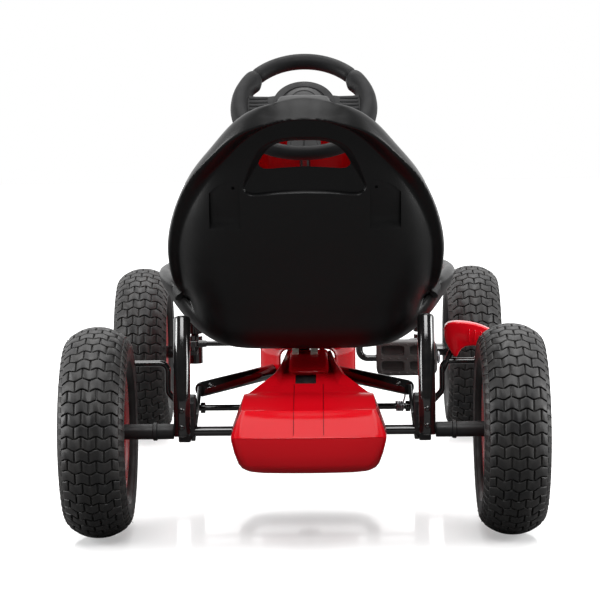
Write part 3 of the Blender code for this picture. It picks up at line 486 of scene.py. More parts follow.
def tyre(end, name, side, y, body):
    """Tyre with staggered tread blocks, shoulder ribs on both flanks and fine moulding hairs."""
    centre = Vector((side * HALF_TRACK, y, AXLE_Z))
    builder = bmesh.new()
    half = [(0.0, crown(0.0) - GROOVE_DEPTH)]
    half += [(u, crown(u) - GROOVE_DEPTH) for u in (0.008, 0.016, 0.023, 0.029, 0.033)]
    half += [(0.0352, 0.1150), (0.0372, 0.1124), (0.0385, 0.1088), (0.0392, 0.1062),
             (0.0400, 0.1056), (0.0400, 0.1042), (0.0394, 0.1036), (0.0397, 0.1000),
             (0.0396, 0.0960), (0.0392, 0.0925), (0.0384, 0.0895), (0.0384, 0.0885),
             (0.0376, 0.0878), (0.0360, 0.0845), (0.0335, 0.0812), (0.0305, 0.0788),
             (0.0280, 0.0782), (0.0240, 0.0786), (0.0300, 0.0870), (0.0340, 0.0980),
             (0.0300, 0.1100), (0.0200, 0.1180), (0.0, 0.1210)]
    profile = half + [(-x, r) for x, r in reversed(half[1:-1])]
    lathe(builder, profile, 112, centre, X_AXIS)
    for row in range(TREAD_ROWS):
        widths = (-2.0, -1.5, -0.5, 0.5, 1.5, 2.0) if row % 2 else (-2.0, -1.0, 0.0, 1.0, 2.0)
        edges = [width * BLOCK_WIDTH for width in widths]
        for low, high in zip(edges, edges[1:]):
            tread_block(builder, low + GROOVE / 2.0, high - GROOVE / 2.0, row, centre)
    for rib in range(TREAD_ROWS):
        for flank in (-1.0, 1.0):
            rings = []
            for radius, x, lean, half_width in ((0.1166, 0.0336, 0.0, 0.0040),
                                                (0.1140, 0.0372, 0.010, 0.0036),
                                                (0.1095, 0.0396, 0.026, 0.0030),
                                                (0.1068, 0.0397, 0.034, 0.0026)):
                angle = math.tau * (rib + 0.5 + 0.5 * flank) / TREAD_ROWS + flank * lean
                ring = []
                for across, sink in ((-1.0, 0.0030), (-0.8, 0.0), (0.8, 0.0), (1.0, 0.0030)):
                    ring.append(on_wheel_face(centre, flank * (x - 0.9 * sink), radius - 0.6 * sink,
                                              angle + across * half_width / radius))
                rings.append(ring)
            skin(builder, rings)
    for hair in range(MOULDING_HAIRS):
        flank = 1.0 if hair % 2 else -1.0
        angle = random.uniform(0.0, math.tau)
        foot = on_wheel_face(centre, flank * 0.0370, 0.1130, angle)
        out = Vector((flank * 0.8, -0.6 * math.sin(angle), 0.6 * math.cos(angle))).normalized()
        turned(builder, [(-0.001, 0.0003), (0.0028, 0.00022), (0.0034, 0.00008)], 5, foot, out)
    item = finish_mesh(builder, f"visual_tyre_{end}_{name}", RUBBER, 30.0)
    return mount(item, body, "tyre", f"tyre_{end}_{name}")


# ---- rims --------------------------------------------------------------------------------------
RIM_STEPS = 120
SPOKES = 5


def rim(end, name, side, y, body):
    """Two-part moulded rim: flanged barrel, five-spoke dish with recessed pockets, and a hub."""
    centre = Vector((side * HALF_TRACK, y, AXLE_Z))

    def relief(angle, radius):
        share = abs(((angle * SPOKES / math.tau) % 1.0) - 0.5) * 2.0
        pocket = smoothstep(0.36, 0.50, share) * smoothstep(0.024, 0.028, radius)
        return pocket * (1.0 - smoothstep(0.055, 0.060, radius))
    flange = [(0.0310, 0.0765), (0.0310, 0.0776), (0.0285, 0.0780), (0.0262, 0.0773),
              (0.0240, 0.0735), (0.0222, 0.0712), (0.0180, 0.0706)]
    outer = flange + [(-x, radius) for x, radius in reversed(flange)]
    outer += [(-0.0290, 0.0735), (-0.0278, 0.0690), (-0.0262, 0.0672)]
    dish_in = [(0.0000, 0.0650), (0.0018, 0.0620), (0.0020, 0.0560), (0.0020, 0.0500),
               (0.0020, 0.0400), (0.0020, 0.0300), (0.0020, 0.0260), (0.0020, 0.0200)]
    hub = [(-0.0205, 0.0168), (-0.0218, 0.0160), (-0.0218, 0.0066), (0.0198, 0.0066),
           (0.0198, 0.0142), (0.0185, 0.0155)]
    dish_out = [(0.0075, 0.0200), (0.0070, 0.0245), (0.0078, 0.0290), (0.0085, 0.0400),
                (0.0088, 0.0500), (0.0092, 0.0560), (0.0100, 0.0605), (0.0150, 0.0640),
                (0.0262, 0.0672), (0.0290, 0.0735)]
    rings = []
    for step in range(RIM_STEPS):
        angle = math.tau * step / RIM_STEPS
        ring = []
        for part, points in (("outer", outer), ("in", dish_in), ("hub", hub), ("out", dish_out)):
            for x, radius in points:
                if part == "out":
                    x -= 0.0042 * relief(angle, radius)
                ring.append(on_wheel_face(centre, side * x, radius, angle))
        rings.append(ring)
    builder = bmesh.new()
    skin(builder, rings, closed_path=True)
    item = finish_mesh(builder, f"visual_rim_{end}_{name}", RIM_RED, 40.0)
    mount(item, body, "red_rim", f"rim_{end}_{name}")
    bolts = bmesh.new()
    for bolt in range(SPOKES):
        angle = math.tau * (bolt + 0.5) / SPOKES
        spot = on_wheel_face(centre, side * 0.0094, 0.0610, angle)
        hexagon(bolts, spot, (side, 0, 0), 0.0070, 0.0030, 0.0017, angle)
    mount(finish_mesh(bolts, f"rim_bolts_{end}_{name}", ZINC), body, "zinc_steel")
    spot = centre + Vector((side * 0.016, 0.0, 0.0560))
    path = (spot + Vector((-side * 0.010, 0, 0.008)), spot, spot + Vector((side * 0.013, 0, -0.003)))
    valve = tube(bmesh.new(), path, 0.0026, 12, 0.0006)
    mount(finish_mesh(valve, f"valve_{end}_{name}", RUBBER), body, "tube_rubber")


for end, y in (("rear", REAR_Y), ("front", FRONT_Y)):
    for name, side in SIDES:
        body = "rear_axle_set" if end == "rear" else f"front_wheel_{name}"
        tyre(end, name, side, y, body)
        rim(end, name, side, y, body)


# ---- seat --------------------------------------------------------------------------------------
# Down the middle of the seat's outside: distance forwards of the rear axle, height, half width,
# and how far the edges stand forward of the middle.
SEAT_STATIONS = (
    (-0.130, 0.5387, 0.040, 0.004), (-0.127, 0.5292, 0.059, 0.010), (-0.120, 0.5110, 0.0845, 0.018),
    (-0.110, 0.4840, 0.1090, 0.028), (-0.095, 0.4500, 0.1365, 0.040),
    (-0.077, 0.4050, 0.1590, 0.052), (-0.058, 0.3600, 0.1690, 0.062),
    (-0.038, 0.3150, 0.1660, 0.070), (-0.020, 0.2760, 0.156, 0.076), (-0.006, 0.2480, 0.152, 0.080),
    (0.018, 0.2301, 0.156, 0.078), (0.060, 0.2301, 0.172, 0.076), (0.130, 0.2385, 0.188, 0.072),
    (0.210, 0.2480, 0.189, 0.062), (0.290, 0.2610, 0.178, 0.044), (0.335, 0.2680, 0.155, 0.024))
SEAT_PER_SPAN = 16
SEAT_COLUMNS = 129
SEAT_CURL = 6.0
SEAT_THICKNESS = 0.016
SEAT_X = 0.0036                # the seat stands a little to the right, like the covers
PANEL_INSET = 0.005
RIDGE_FALL = 0.010           # width of the step from the flange's ridge down to the panel


def seat_grid():
    """Base surface of the seat, its normals towards the driver, and its row heights."""
    line = np.array(spline(SEAT_STATIONS, SEAT_PER_SPAN))
    shares = np.sin(np.linspace(-0.5, 0.5, SEAT_COLUMNS) * math.pi)
    slope = np.gradient(line[:, :2], axis=0)
    lifts = np.stack([-slope[:, 1], slope[:, 0]], axis=1)
    lifts /= np.linalg.norm(lifts, axis=1, keepdims=True)
    lifts *= np.where(lifts.sum(axis=1, keepdims=True) < 0.0, -1.0, 1.0)
    reach = 20
    padded = np.concatenate([lifts[:1].repeat(reach, 0), lifts, lifts[-1:].repeat(reach, 0)])
    lifts = np.array([padded[k:k + 2 * reach + 1].mean(axis=0) for k in range(len(line))])
    lifts[:, 1] *= np.array([smoothstep(-0.045, -0.005, y) for y in line[:, 0]])
    lifts /= np.linalg.norm(lifts, axis=1, keepdims=True)
    rows = []
    for index, (y, z, half, rise) in enumerate(line):
        lift = rise * np.abs(shares) ** SEAT_CURL
        sag = 0.0045 * shares ** 2 * max(0.0, 1.0 - index / (1.4 * SEAT_PER_SPAN))
        rows.append(np.stack([half * shares, back(y) + lifts[index, 0] * lift,
                              z + lifts[index, 1] * lift - sag], axis=1))
    points = np.array(rows)
    down, across = np.gradient(points, axis=0), np.gradient(points, axis=1)
    normals = np.cross(across, down)
    normals /= np.linalg.norm(normals, axis=2, keepdims=True)
    middle, bottom = SEAT_COLUMNS // 2, 12 * SEAT_PER_SPAN
    if normals[bottom, middle, 2] < 0.0:
        normals = -normals
    return points, normals, line


def edge_distance(points):
    """Distance of each point of the grid from the nearest point of its rim."""
    edge = np.concatenate([points[0], points[-1], points[:, 0], points[:, -1]])
    flat = points.reshape(-1, 3)
    squares = ((flat ** 2).sum(axis=1)[:, None] + (edge ** 2).sum(axis=1)[None, :]
               - 2.0 * flat @ edge.T)
    return np.sqrt(np.maximum(squares.min(axis=1), 0.0)).reshape(points.shape[:2])


def seat():
    """Blown shell: a flange round the rim, a sunk panel behind, ribs and a hollow in front."""
    points, normals, line = seat_grid()
    distance = edge_distance(points)
    for _ in range(6):
        beside = distance[:-2, 1:-1] + distance[2:, 1:-1] + distance[1:-1, :-2] + distance[1:-1, 2:]
        distance[1:-1, 1:-1] = (2.0 * distance[1:-1, 1:-1] + beside) / 6.0
    rear, front = points.copy(), points.copy()
    for i in range(points.shape[0]):
        backrest = 1.0 - smoothstep(-0.050, 0.0, line[i][0])
        high = smoothstep(0.36, 0.50, line[i][1])
        width = 0.010 + backrest * (0.002 + 0.0050 * high)
        height = 0.0010 + backrest * (0.0035 + 0.0110 * high)
        for j in range(points.shape[1]):
            d = distance[i, j]
            inside = smoothstep(width, width + RIDGE_FALL, d)
            flange = height * min(d / width, 1.0) * (1.0 - inside)
            rear[i, j] += normals[i, j] * (backrest * PANEL_INSET * inside - flange)
            x = abs(points[i, j][0])
            hollow = 0.0030 * (1.0 - smoothstep(0.080, 0.098, x)) * smoothstep(0.03, 0.06, d)
            rib = 0.0
            if SEAT_PER_SPAN < i < 10 * SEAT_PER_SPAN:
                wave = 0.5 + 0.5 * math.cos(math.tau * (line[i][1] - 0.30) / 0.034)
                rib = 0.0022 * wave ** 3 * (1.0 - smoothstep(0.060, 0.075, x))
                rib *= smoothstep(0.290, 0.31, line[i][1]) * (1 - smoothstep(0.40, 0.42, line[i][1]))
            front[i, j] += normals[i, j] * (SEAT_THICKNESS - hollow + rib)
    count_i, count_j = points.shape[:2]
    builder = bmesh.new()
    rear_verts = skin(builder, rear, closed_ring=False)
    front_verts = skin(builder, front, closed_ring=False)
    loop = [(0, j) for j in range(count_j)] + [(i, count_j - 1) for i in range(1, count_i)]
    loop += [(count_i - 1, j) for j in range(count_j - 2, -1, -1)]
    loop += [(i, 0) for i in range(count_i - 2, 0, -1)]
    arcs = []
    for i, j in loop:
        inner = (min(max(i, 1), count_i - 2), min(max(j, 1), count_j - 2))
        out = points[i, j] - points[inner]
        normal = normals[i, j]
        out = out - normal * out.dot(normal)
        out /= max(np.linalg.norm(out), 1e-9)
        middle = (rear[i, j] + front[i, j]) / 2.0
        radius = np.linalg.norm(front[i, j] - rear[i, j]) / 2.0
        bulge = 0.35 + 0.45 * smoothstep(-0.110, -0.050, line[i][0])
        arc = [rear_verts[i][j]]
        for step in range(1, 6):
            angle = math.pi * step / 6.0
            spot = middle - normal * radius * math.cos(angle) + out * radius * math.sin(angle) * bulge
            arc.append(builder.verts.new(spot))
        arcs.append(arc + [front_verts[i][j]])
    for arc, after in zip(arcs, arcs[1:] + arcs[:1]):
        for step in range(6):
            builder.faces.new((arc[step], arc[step + 1], after[step + 1], after[step]))
    item = finish_mesh(builder, "visual_seat", SEAT_BLACK, 40.0)
    boolean(item, handle_cutter())
    boolean(item, pocket_cutter(points))
    boolean(item, pocket_screws(points))
    mount(shifted(sharpened(item, 50.0), SEAT_X), "frame", "seat_plastic", "seat")


def handle_cutter():
    """Flared hand hole whose floor rises from its rear lip to its front edge."""
    rear = ((0.0, 0.4927), (0.020, 0.4922), (0.036, 0.4886), (0.050, 0.4800), (0.061, 0.4630),
            (0.069, 0.4430), (0.0705, 0.4340), (0.0655, 0.4285), (0.0550, 0.4272),
            (0.0300, 0.4300), (0.0, 0.4312))
    front = ((0.0, 0.4906), (0.017, 0.4901), (0.028, 0.4882), (0.037, 0.4846), (0.0438, 0.4792),
             (0.0484, 0.4741), (0.0498, 0.4709), (0.0470, 0.4682), (0.0396, 0.4672),
             (0.0220, 0.4682), (0.0, 0.4692))

    middle_z = 0.462

    def section(control, grow, offset):
        half = spline(control, 4)
        outline = [(x, z) for x, z in half] + [(-x, z) for x, z in reversed(half[1:-1])]
        ring = []
        for x, z in outline:
            swell = 1 + grow / math.hypot(x, z - middle_z)
            x, z = x * swell, middle_z + (z - middle_z) * swell
            ring.append(Vector((x, back(-0.095) - 0.44 * (z - 0.450) + offset, z)))
        return ring
    builder = bmesh.new()
    blend = [tuple(0.45 * np.array(a) + 0.55 * np.array(b)) for a, b in zip(rear, front)]
    skin(builder, [section(rear, 0.0085, -0.030), section(rear, 0.0080, 0.0024),
                   section(rear, 0.0058, 0.0040), section(rear, 0.0032, 0.0056),
                   section(rear, 0.0012, 0.0074), section(rear, 0.0, 0.0098),
                   section(blend, 0.0, 0.0130), section(front, 0.0, 0.0158),
                   section(front, 0.0008, 0.0176), section(front, 0.0016, 0.0188),
                   section(front, 0.0024, 0.0240), section(front, 0.0024, 0.060)])
    return finish_mesh(builder, "handle_cutter", SEAT_BLACK)


def surface_y(points, x, z):
    """Y of the backrest's base surface at a place seen from behind."""
    flat = points[:9 * SEAT_PER_SPAN].reshape(-1, 3)
    distance = (flat[:, 0] - x) ** 2 + (flat[:, 2] - z) ** 2
    nearest = np.argsort(distance)[:6]
    weight = 1.0 / (distance[nearest] + 1e-7)
    return float((flat[nearest, 1] * weight).sum() / weight.sum())


def pocket_cutter(points):
    """Shallow recesses beside the hand hole, each with a sloping ledge at its lower end."""
    builder = bmesh.new()
    levels = ((0.3826, 0.0774, 0.1146, -0.0020), (0.3834, 0.0774, 0.1146, -0.0002),
              (0.3904, 0.0774, 0.1146, 0.0064), (0.4000, 0.0774, 0.1146, 0.0058),
              (0.4150, 0.0774, 0.1144, 0.0042), (0.4280, 0.0775, 0.1142, 0.0026),
              (0.4340, 0.0776, 0.1080, 0.0017), (0.4390, 0.0778, 0.1000, 0.0013),
              (0.4420, 0.0800, 0.0930, 0.0010), (0.4430, 0.0830, 0.0900, 0.0009))
    for side in (-1.0, 1.0):
        rings = []
        for z, inner, outer, depth in levels:
            ring = [Vector((side * inner, back(-0.16), z))]
            for step in range(7):
                x = inner + (outer - inner) * step / 6.0
                ring.append(Vector((side * x, surface_y(points, side * x, z) + PANEL_INSET + depth,
                                    z)))
            ring.append(Vector((side * outer, back(-0.16), z)))
            rings.append(ring)
        skin(builder, rings)
    return finish_mesh(builder, "pocket_cutter", SEAT_BLACK)


def pocket_screws(points):
    """Cutter for the two small round holes in each pocket."""
    builder = bmesh.new()
    for side in (-1.0, 1.0):
        for x, z in ((0.0850, 0.4345), (0.1052, 0.4005)):
            y = surface_y(points, side * x, z)
            turned(builder, [(-0.010, 0.0020), (0.0105, 0.0020)], 14, (side * x, y, z), (0, 1, 0))
    return finish_mesh(builder, "pocket_screws", SEAT_BLACK)


seat()


# ---- steering wheel ----------------------------------------------------------------------------
WHEEL_CENTRE = COLUMN_FOOT + COLUMN_DIRECTION * (0.463 - 0.0039 / COLUMN_DIRECTION.z)
WHEEL_SIZE = 0.975


def on_wheel(a, b, c):
    """Point across, up and out of the steering wheel's plane."""
    return WHEEL_CENTRE + WHEEL_SIZE * (Vector((a, 0, 0)) + COLUMN_UP * b) + COLUMN_DIRECTION * c


def steering_wheel():
    """Rim with thicker grips at the sides, three spokes with bars and pads, a hub and a cap."""
    builder = bmesh.new()
    steps, sides = 180, 20
    dial, flat_b = 0.0915, -0.078
    rings = []
    for step in range(steps):
        angle = math.tau * step / steps
        off = min(abs(math.degrees(angle) - 90.0), abs(math.degrees(angle) - 270.0))
        grip = 1.0 - smoothstep(36.0, 44.0, off)
        thumb = math.exp(-((off - 31.0) / 6.5) ** 2)
        seam = math.exp(-((off - 42.0) / 1.0) ** 2)
        radius = 0.0112 + 0.0022 * grip - 0.0012 * seam
        ring = []
        for k in range(sides):
            turn = math.tau * k / sides
            inward = max(0.0, -math.cos(turn))
            reach = radius + 0.0045 * thumb * inward ** 2
            out = dial + reach * math.cos(turn)
            a, b = out * math.sin(angle), out * math.cos(angle)
            if b < flat_b:
                b = flat_b + (b - flat_b) * 0.72
            ring.append(on_wheel(a, b, 1.04 * radius * math.sin(turn)))
        rings.append(ring)
    skin(builder, rings, closed_path=True)
    turned(builder, [(-0.0095, 0.030), (-0.0095, 0.040), (-0.0070, 0.0440), (0.0035, 0.0450),
                     (0.0075, 0.0432), (0.0090, 0.0400), (0.0094, 0.0320), (0.0085, 0.0310),
                     (0.0085, 0.0295), (0.0100, 0.0285), (0.0100, 0.0010)], 72,
           WHEEL_CENTRE, COLUMN_DIRECTION)

    def spoke(direction, profile, depth):
        rings = []
        for reach, half, top in profile:
            ring = []
            for across, level in ((-1.0, -0.45), (-0.90, -0.9), (0.90, -0.9), (1.0, -0.45),
                                  (1.0, 0.55), (0.92, 0.92), (0.80, 1.0), (-0.80, 1.0),
                                  (-0.92, 0.92), (-1.0, 0.55)):
                c = level * (top if level > 0 else depth)
                if direction == "down":
                    ring.append(on_wheel(half * across, -reach, c))
                else:
                    ring.append(on_wheel(direction * reach, half * across + 0.002, c))
            rings.append(ring)
        skin(builder, rings)
    for side in (-1.0, 1.0):
        spoke(side, ((0.034, 0.0175, 0.0075), (0.050, 0.0150, 0.0070), (0.070, 0.0160, 0.0066),
                     (0.088, 0.0210, 0.0070)), 0.0060)
        for bar_number in range(4):
            b = -0.0085 + 0.0070 * bar_number
            rings = []
            for a, shrink in ((0.0515, 0.6), (0.0522, 1.0), (0.0770, 1.0), (0.0778, 0.6)):
                rings.append([on_wheel(side * a, b + 0.0024 * s * shrink, c)
                              for s, c in ((-1.0, 0.0060), (-1.0, 0.0072), (-0.6, 0.0077),
                                           (0.6, 0.0077), (1.0, 0.0072), (1.0, 0.0060))])
            skin(builder, rings)
    spoke("down", ((0.036, 0.0215, 0.0072), (0.055, 0.0225, 0.0062), (0.070, 0.0235, 0.0060),
                   (0.084, 0.0250, 0.0064)), 0.0060)
    for side in (-1.0, 1.0):
        rings = []
        for b, inner, outer in ((-0.050, 0.0012, 0.0154), (-0.0505, 0.0006, 0.0162),
                                (-0.0838, 0.0006, 0.0199), (-0.0843, 0.0012, 0.0192)):
            rings.append([on_wheel(side * a, b, c) for a, c in
                          ((inner, 0.0045), (inner, 0.0076), (inner + 0.0008, 0.0082),
                           (outer - 0.0012, 0.0082), (outer, 0.0072), (outer, 0.0045))])
        skin(builder, rings)
    mount(finish_mesh(builder, "visual_steering_wheel", WHEEL_GREY, 32.0),
          "steering", "wheel_plastic", "steering_wheel")
    cap = bmesh.new()
    turned(cap, [(0.0090, 0.0262), (0.0106, 0.0272), (0.0128, 0.0268), (0.0146, 0.0235),
                 (0.0158, 0.0160), (0.0162, 0.0080), (0.0163, 0.0005)], 64, WHEEL_CENTRE,
           COLUMN_DIRECTION)
    lathe(cap, [(0.0152, 0.0192), (0.0162, 0.0188), (0.0162, 0.0178), (0.0148, 0.0174)], 64,
          WHEEL_CENTRE, COLUMN_DIRECTION)
    mount(finish_mesh(cap, "visual_steering_cap", BLACK_PLASTIC, 32.0),
          "steering", "black_plastic", "steering_cap")


steering_wheel()


# ---- covers ------------------------------------------------------------------------------------
COVER_X = 0.0052              # the rear covers and the body cover stand a little to the right
BODY_COVER_X = 0.0035


def walled(builder, name, thickness, even=False, upwards=1.0):
    """Thin moulded cover whose wall grows inwards from the surface in the builder.

    The face that lies furthest upwards, or downwards where upwards is -1, tells which way is out.
    """
    bmesh.ops.recalc_face_normals(builder, faces=builder.faces[:])
    outermost = max(builder.faces, key=lambda face: upwards * face.calc_center_median().z)
    if upwards * outermost.normal.z < 0.0:
        bmesh.ops.reverse_faces(builder, faces=builder.faces[:])
    item = finish_mesh(builder, name, RED, 30.0, recalc=False)
    wall = item.modifiers.new("wall", "SOLIDIFY")
    wall.thickness = thickness
    wall.offset = -1.0
    wall.use_even_offset = even
    return applied(item, 30.0)


def covered(builder, line):
    """Faces across the inside of an open line that is the same on both sides of its middle."""
    middle = len(line) // 2
    for index in range(middle - 1):
        builder.faces.new((line[index], line[index + 1], line[-2 - index], line[-1 - index]))
    builder.faces.new(line[middle - 1:middle + 2])


def plan_contour(rear, corner, side_points, bulge):
    """U-shaped line seen from above: front left, round the rear, to the front right.

    side_points are (distance forwards of the axle, half width, height) from the rear to the front.
    """
    _, first_half, first_z = side_points[0]
    left = [Vector((-half, back(y), z)) for y, half, z in reversed(side_points)]
    for step in range(1, 6):
        angle = (math.pi / 2.0) * step / 5.0
        left.append(Vector((-(first_half - corner * (1.0 - math.cos(angle))),
                            back(rear + corner * (1.0 - math.sin(angle))), first_z)))
    for share in (0.66, 0.33):
        left.append(Vector((-(first_half - corner) * share,
                            back(rear - bulge * (1.0 - share ** 2)), first_z)))
    return mirrored(left + [Vector((0.0, back(rear - bulge), first_z))])


def rear_cover_lower():
    """Tub under the seam: levels are height, rear end, half width and corner radius."""
    levels = ((0.1346, -0.0865, 0.0941, 0.012), (0.1300, -0.0863, 0.0936, 0.012),
              (0.1150, -0.0850, 0.0901, 0.013), (0.1020, -0.0830, 0.0855, 0.014),
              (0.0960, -0.0800, 0.0814, 0.015), (0.0915, -0.0740, 0.0753, 0.017),
              (0.0890, -0.0660, 0.0672, 0.019), (0.0880, -0.0560, 0.0570, 0.020))
    rings = []
    for z, rear, half, corner in levels:
        share = half / levels[0][2]
        sides = [(rear + corner + 0.010, half, z), (0.030, half * 0.985, z),
                 (0.075, 0.0780 * share, z), (0.105, 0.0660 * share, z)]
        rings.append(plan_contour(rear, corner, sides, 0.0028))
    builder = bmesh.new()
    covered(builder, skin(builder, rings, closed_ring=False)[-1])
    item = walled(builder, "visual_rear_cover_lower", 0.0025, upwards=-1.0)
    bored(item, 0.0105, 32, (0, REAR_Y, AXLE_Z))
    mount(shifted(item, COVER_X), "frame", "red_plastic", "rear_cover_lower")


def groove_shade_strip(item, x, first, last):
    """Fine dark strip that follows a cover's outside in one upright plane: painted shade of a moulded
    groove.
    """
    middle = Vector((x, back(-0.030), 0.120))
    name = "left" if x < 0.0 else "right"
    builder = bmesh.new()
    rings = []
    for step in range(49):
        angle = math.radians(first + (last - first) * step / 48.0)
        outward = Vector((0.0, -math.cos(angle), math.sin(angle)))
        hit, place, normal, _ = item.ray_cast(middle + 0.2 * outward, -outward)
        if not hit:
            continue
        rings.append([place + Vector((0.0004 * a, 0.0, 0.0)) + normal * (0.0001 * b)
                      for a, b in ((-1.0, -4.0), (1.0, -4.0), (1.0, 1.6), (-1.0, 1.6))])
    skin(builder, rings)
    return finish_mesh(builder, f"cover_groove_shade_{name}", GROOVE_SHADE_RED)


def rear_cover_upper():
    """Deck with a steep rear facet, and the neck that rises from it between hollow flanks."""
    seam = [(-0.058, 0.0936, 0.1352), (-0.038, 0.0941, 0.1352), (-0.018, 0.0938, 0.1352),
            (0.000, 0.0931, 0.1352), (0.015, 0.0921, 0.1352), (0.030, 0.0905, 0.1352),
            (0.050, 0.0820, 0.1352), (0.075, 0.0725, 0.1352), (0.105, 0.0580, 0.1380),
            (0.138, 0.0390, 0.1500)]
    flange = [(-0.058, 0.0930, 0.1385), (-0.038, 0.0934, 0.1395), (-0.018, 0.0930, 0.1405),
              (0.000, 0.0921, 0.1420), (0.015, 0.0907, 0.1440), (0.030, 0.0883, 0.1460),
              (0.050, 0.0790, 0.1490), (0.075, 0.0680, 0.1540), (0.105, 0.0520, 0.1640),
              (0.138, 0.0340, 0.1800)]
    crest = [(-0.057, 0.0872, 0.1520), (-0.038, 0.0872, 0.1545), (-0.018, 0.0862, 0.1580),
             (0.000, 0.0845, 0.1630), (0.012, 0.0742, 0.1750), (0.026, 0.0590, 0.1845),
             (0.042, 0.0430, 0.1945), (0.066, 0.0350, 0.2030), (0.098, 0.0310, 0.2080),
             (0.138, 0.0280, 0.2112)]
    ridge = [(-0.056, 0.0812, 0.1645), (-0.038, 0.0810, 0.1682), (-0.018, 0.0806, 0.1722),
             (0.000, 0.0796, 0.1756), (0.010, 0.0662, 0.1775), (0.0200, 0.0530, 0.1798),
             (0.0300, 0.0361, 0.1826), (0.0600, 0.0314, 0.1928), (0.0950, 0.0268, 0.2030),
             (0.138, 0.0235, 0.2100)]
    rings = [plan_contour(-0.0868, 0.014, seam, 0.0028), plan_contour(-0.0845, 0.014, flange, 0.0028),
             plan_contour(-0.0735, 0.009, crest, 0.0024), plan_contour(-0.0620, 0.006, ridge, 0.0020)]
    builder = bmesh.new()
    covered(builder, skin(builder, rings, closed_ring=False)[-1])
    item = walled(builder, "visual_rear_cover_upper", 0.0018)
    bored(item, 0.0105, 32, (0, REAR_Y, AXLE_Z))
    outline = ((0.0325, 0.1740), (0.0325, 0.2100), (0.0585, 0.2150), (0.0585, 0.1840))
    notch = slab(outline, -0.0114 - COVER_X, 0.0142 - COVER_X)
    boolean(item, finish_mesh(notch, "notch", RED))
    softened(item, 0.0006, 2, 16.0)
    for side in (-1.0, 1.0):
        mount(shifted(groove_shade_strip(item, side * 0.018, 18.0, 134.0), COVER_X), "frame", "red_plastic")
    mount(shifted(sharpened(item, 20.0), COVER_X), "frame", "red_plastic", "rear_cover_upper")


def neck_details():
    """Black sheet under the neck's notch as painted shade of its shadowed inside, the raised lid above it
    and the two pale clips.
    """
    # thin black sheet at the notch's bottom: painted shade where the notch's inside lies in shadow
    outline = ((0.026, 0.1752), (0.026, 0.1767), (0.064, 0.1895), (0.064, 0.1880))
    notch_shade_sheet = slab(outline, -0.0145, 0.0175)
    mount(finish_mesh(notch_shade_sheet, "neck_notch_painted_shade", BLACK_PLASTIC), "frame", "black_plastic")
    bulge = bmesh.new()
    rings = []
    for y, half, low, top in ((0.0580, 0.0225, 0.1905, 0.1945), (0.0588, 0.0245, 0.1900, 0.1968),
                              (0.0615, 0.0252, 0.1898, 0.2005), (0.0720, 0.0250, 0.1945, 0.2050),
                              (0.0950, 0.0245, 0.2000, 0.2092), (0.1370, 0.0236, 0.2060, 0.2130)):
        ring = []
        for share, level in ((1.0, 0.0), (1.0, 0.62), (0.97, 0.84), (0.90, 0.96), (0.78, 1.0),
                             (0.40, 1.02), (0.0, 1.03)):
            droop = 0.0030 * (1.0 - share ** 2)
            ring.append(Vector((half * share, back(y) - droop,
                                low - 0.4 * droop + (top - low) * level)))
        rings.append(mirrored(ring))
    skin(bulge, rings)
    mount(shifted(finish_mesh(bulge, "neck_bulge", RED, 30.0), COVER_X), "frame", "red_plastic")
    clips = bmesh.new()
    for side in (-1.0, 1.0):
        rings = []
        for y, grow, low, high in ((0.1085, 0.9, 0.2060, 0.2130), (0.1090, 1.0, 0.2055, 0.2136),
                                   (0.1360, 1.0, 0.2120, 0.2190)):
            rings.append([Vector((side * 0.0120 + 0.0042 * grow * a, back(y), z)) for a, z in
                          ((-1.0, low), (1.0, low), (1.0, high), (-1.0, high))])
        skin(clips, rings)
    mount(finish_mesh(clips, "cover_clips", PALE_PLASTIC), "frame", "black_plastic")


def channel_half(half, low, high, corner):
    """Right half of a cover's section, from its lower edge to the middle of its top."""
    points = [(half, low), (half, low + 0.35 * (high - low)),
              (half, high - corner - 0.15 * (high - low))]
    for step in range(6):
        angle = (math.pi / 2.0) * step / 5.0
        points.append((half - corner * (1.0 - math.cos(angle)),
                       high - corner * (1.0 - math.sin(angle))))
    return points + [(0.5 * (half - corner), high + 0.0008), (0.0, high + 0.0012)]


def body_cover():
    """Cover over the crank: stations are Y, half width, lower edge, top and corner radius."""
    stations = ((-0.2580, 0.0370, 0.1840, 0.2150, 0.012), (-0.2480, 0.0400, 0.1790, 0.2160, 0.014),
                (-0.2300, 0.0500, 0.1720, 0.2180, 0.016), (-0.2120, 0.0590, 0.1675, 0.2205, 0.018),
                (-0.1900, 0.0625, 0.1662, 0.2235, 0.020), (-0.1300, 0.0628, 0.1660, 0.2385, 0.020),
                (-0.0650, 0.0628, 0.1660, 0.2550, 0.020), (0.0000, 0.0628, 0.1660, 0.2760, 0.020),
                (0.0600, 0.0628, 0.1660, 0.2965, 0.020), (0.1200, 0.0605, 0.1660, 0.3050, 0.020),
                (0.1680, 0.0562, 0.1660, 0.3062, 0.020))
    rings = []
    for y, half, low, high, corner in spline(stations, 5):
        rings.append(mirrored([Vector((x, y, z)) for x, z in channel_half(half, low, high, corner)]))
    builder = bmesh.new()
    skin(builder, rings, closed_ring=False)
    item = walled(builder, "visual_body_cover", 0.0025, even=True)
    bored(item, 0.0115, 32, (0, CRANK_Y, CRANK_Z))
    flank_x, half_depth, half_height = 0.0640, 0.0022, 0.0012
    for z in (0.205, 0.190):
        for side in (-1.0, 1.0):
            groove = bmesh.new()
            box(groove, (side * flank_x - half_depth, -0.175, z - half_height),
                (side * flank_x + half_depth, 0.150, z + half_height))
            boolean(item, finish_mesh(groove, "groove", RED))
    mount(shifted(sharpened(item, 30.0), BODY_COVER_X), "frame", "red_plastic", "body_cover")


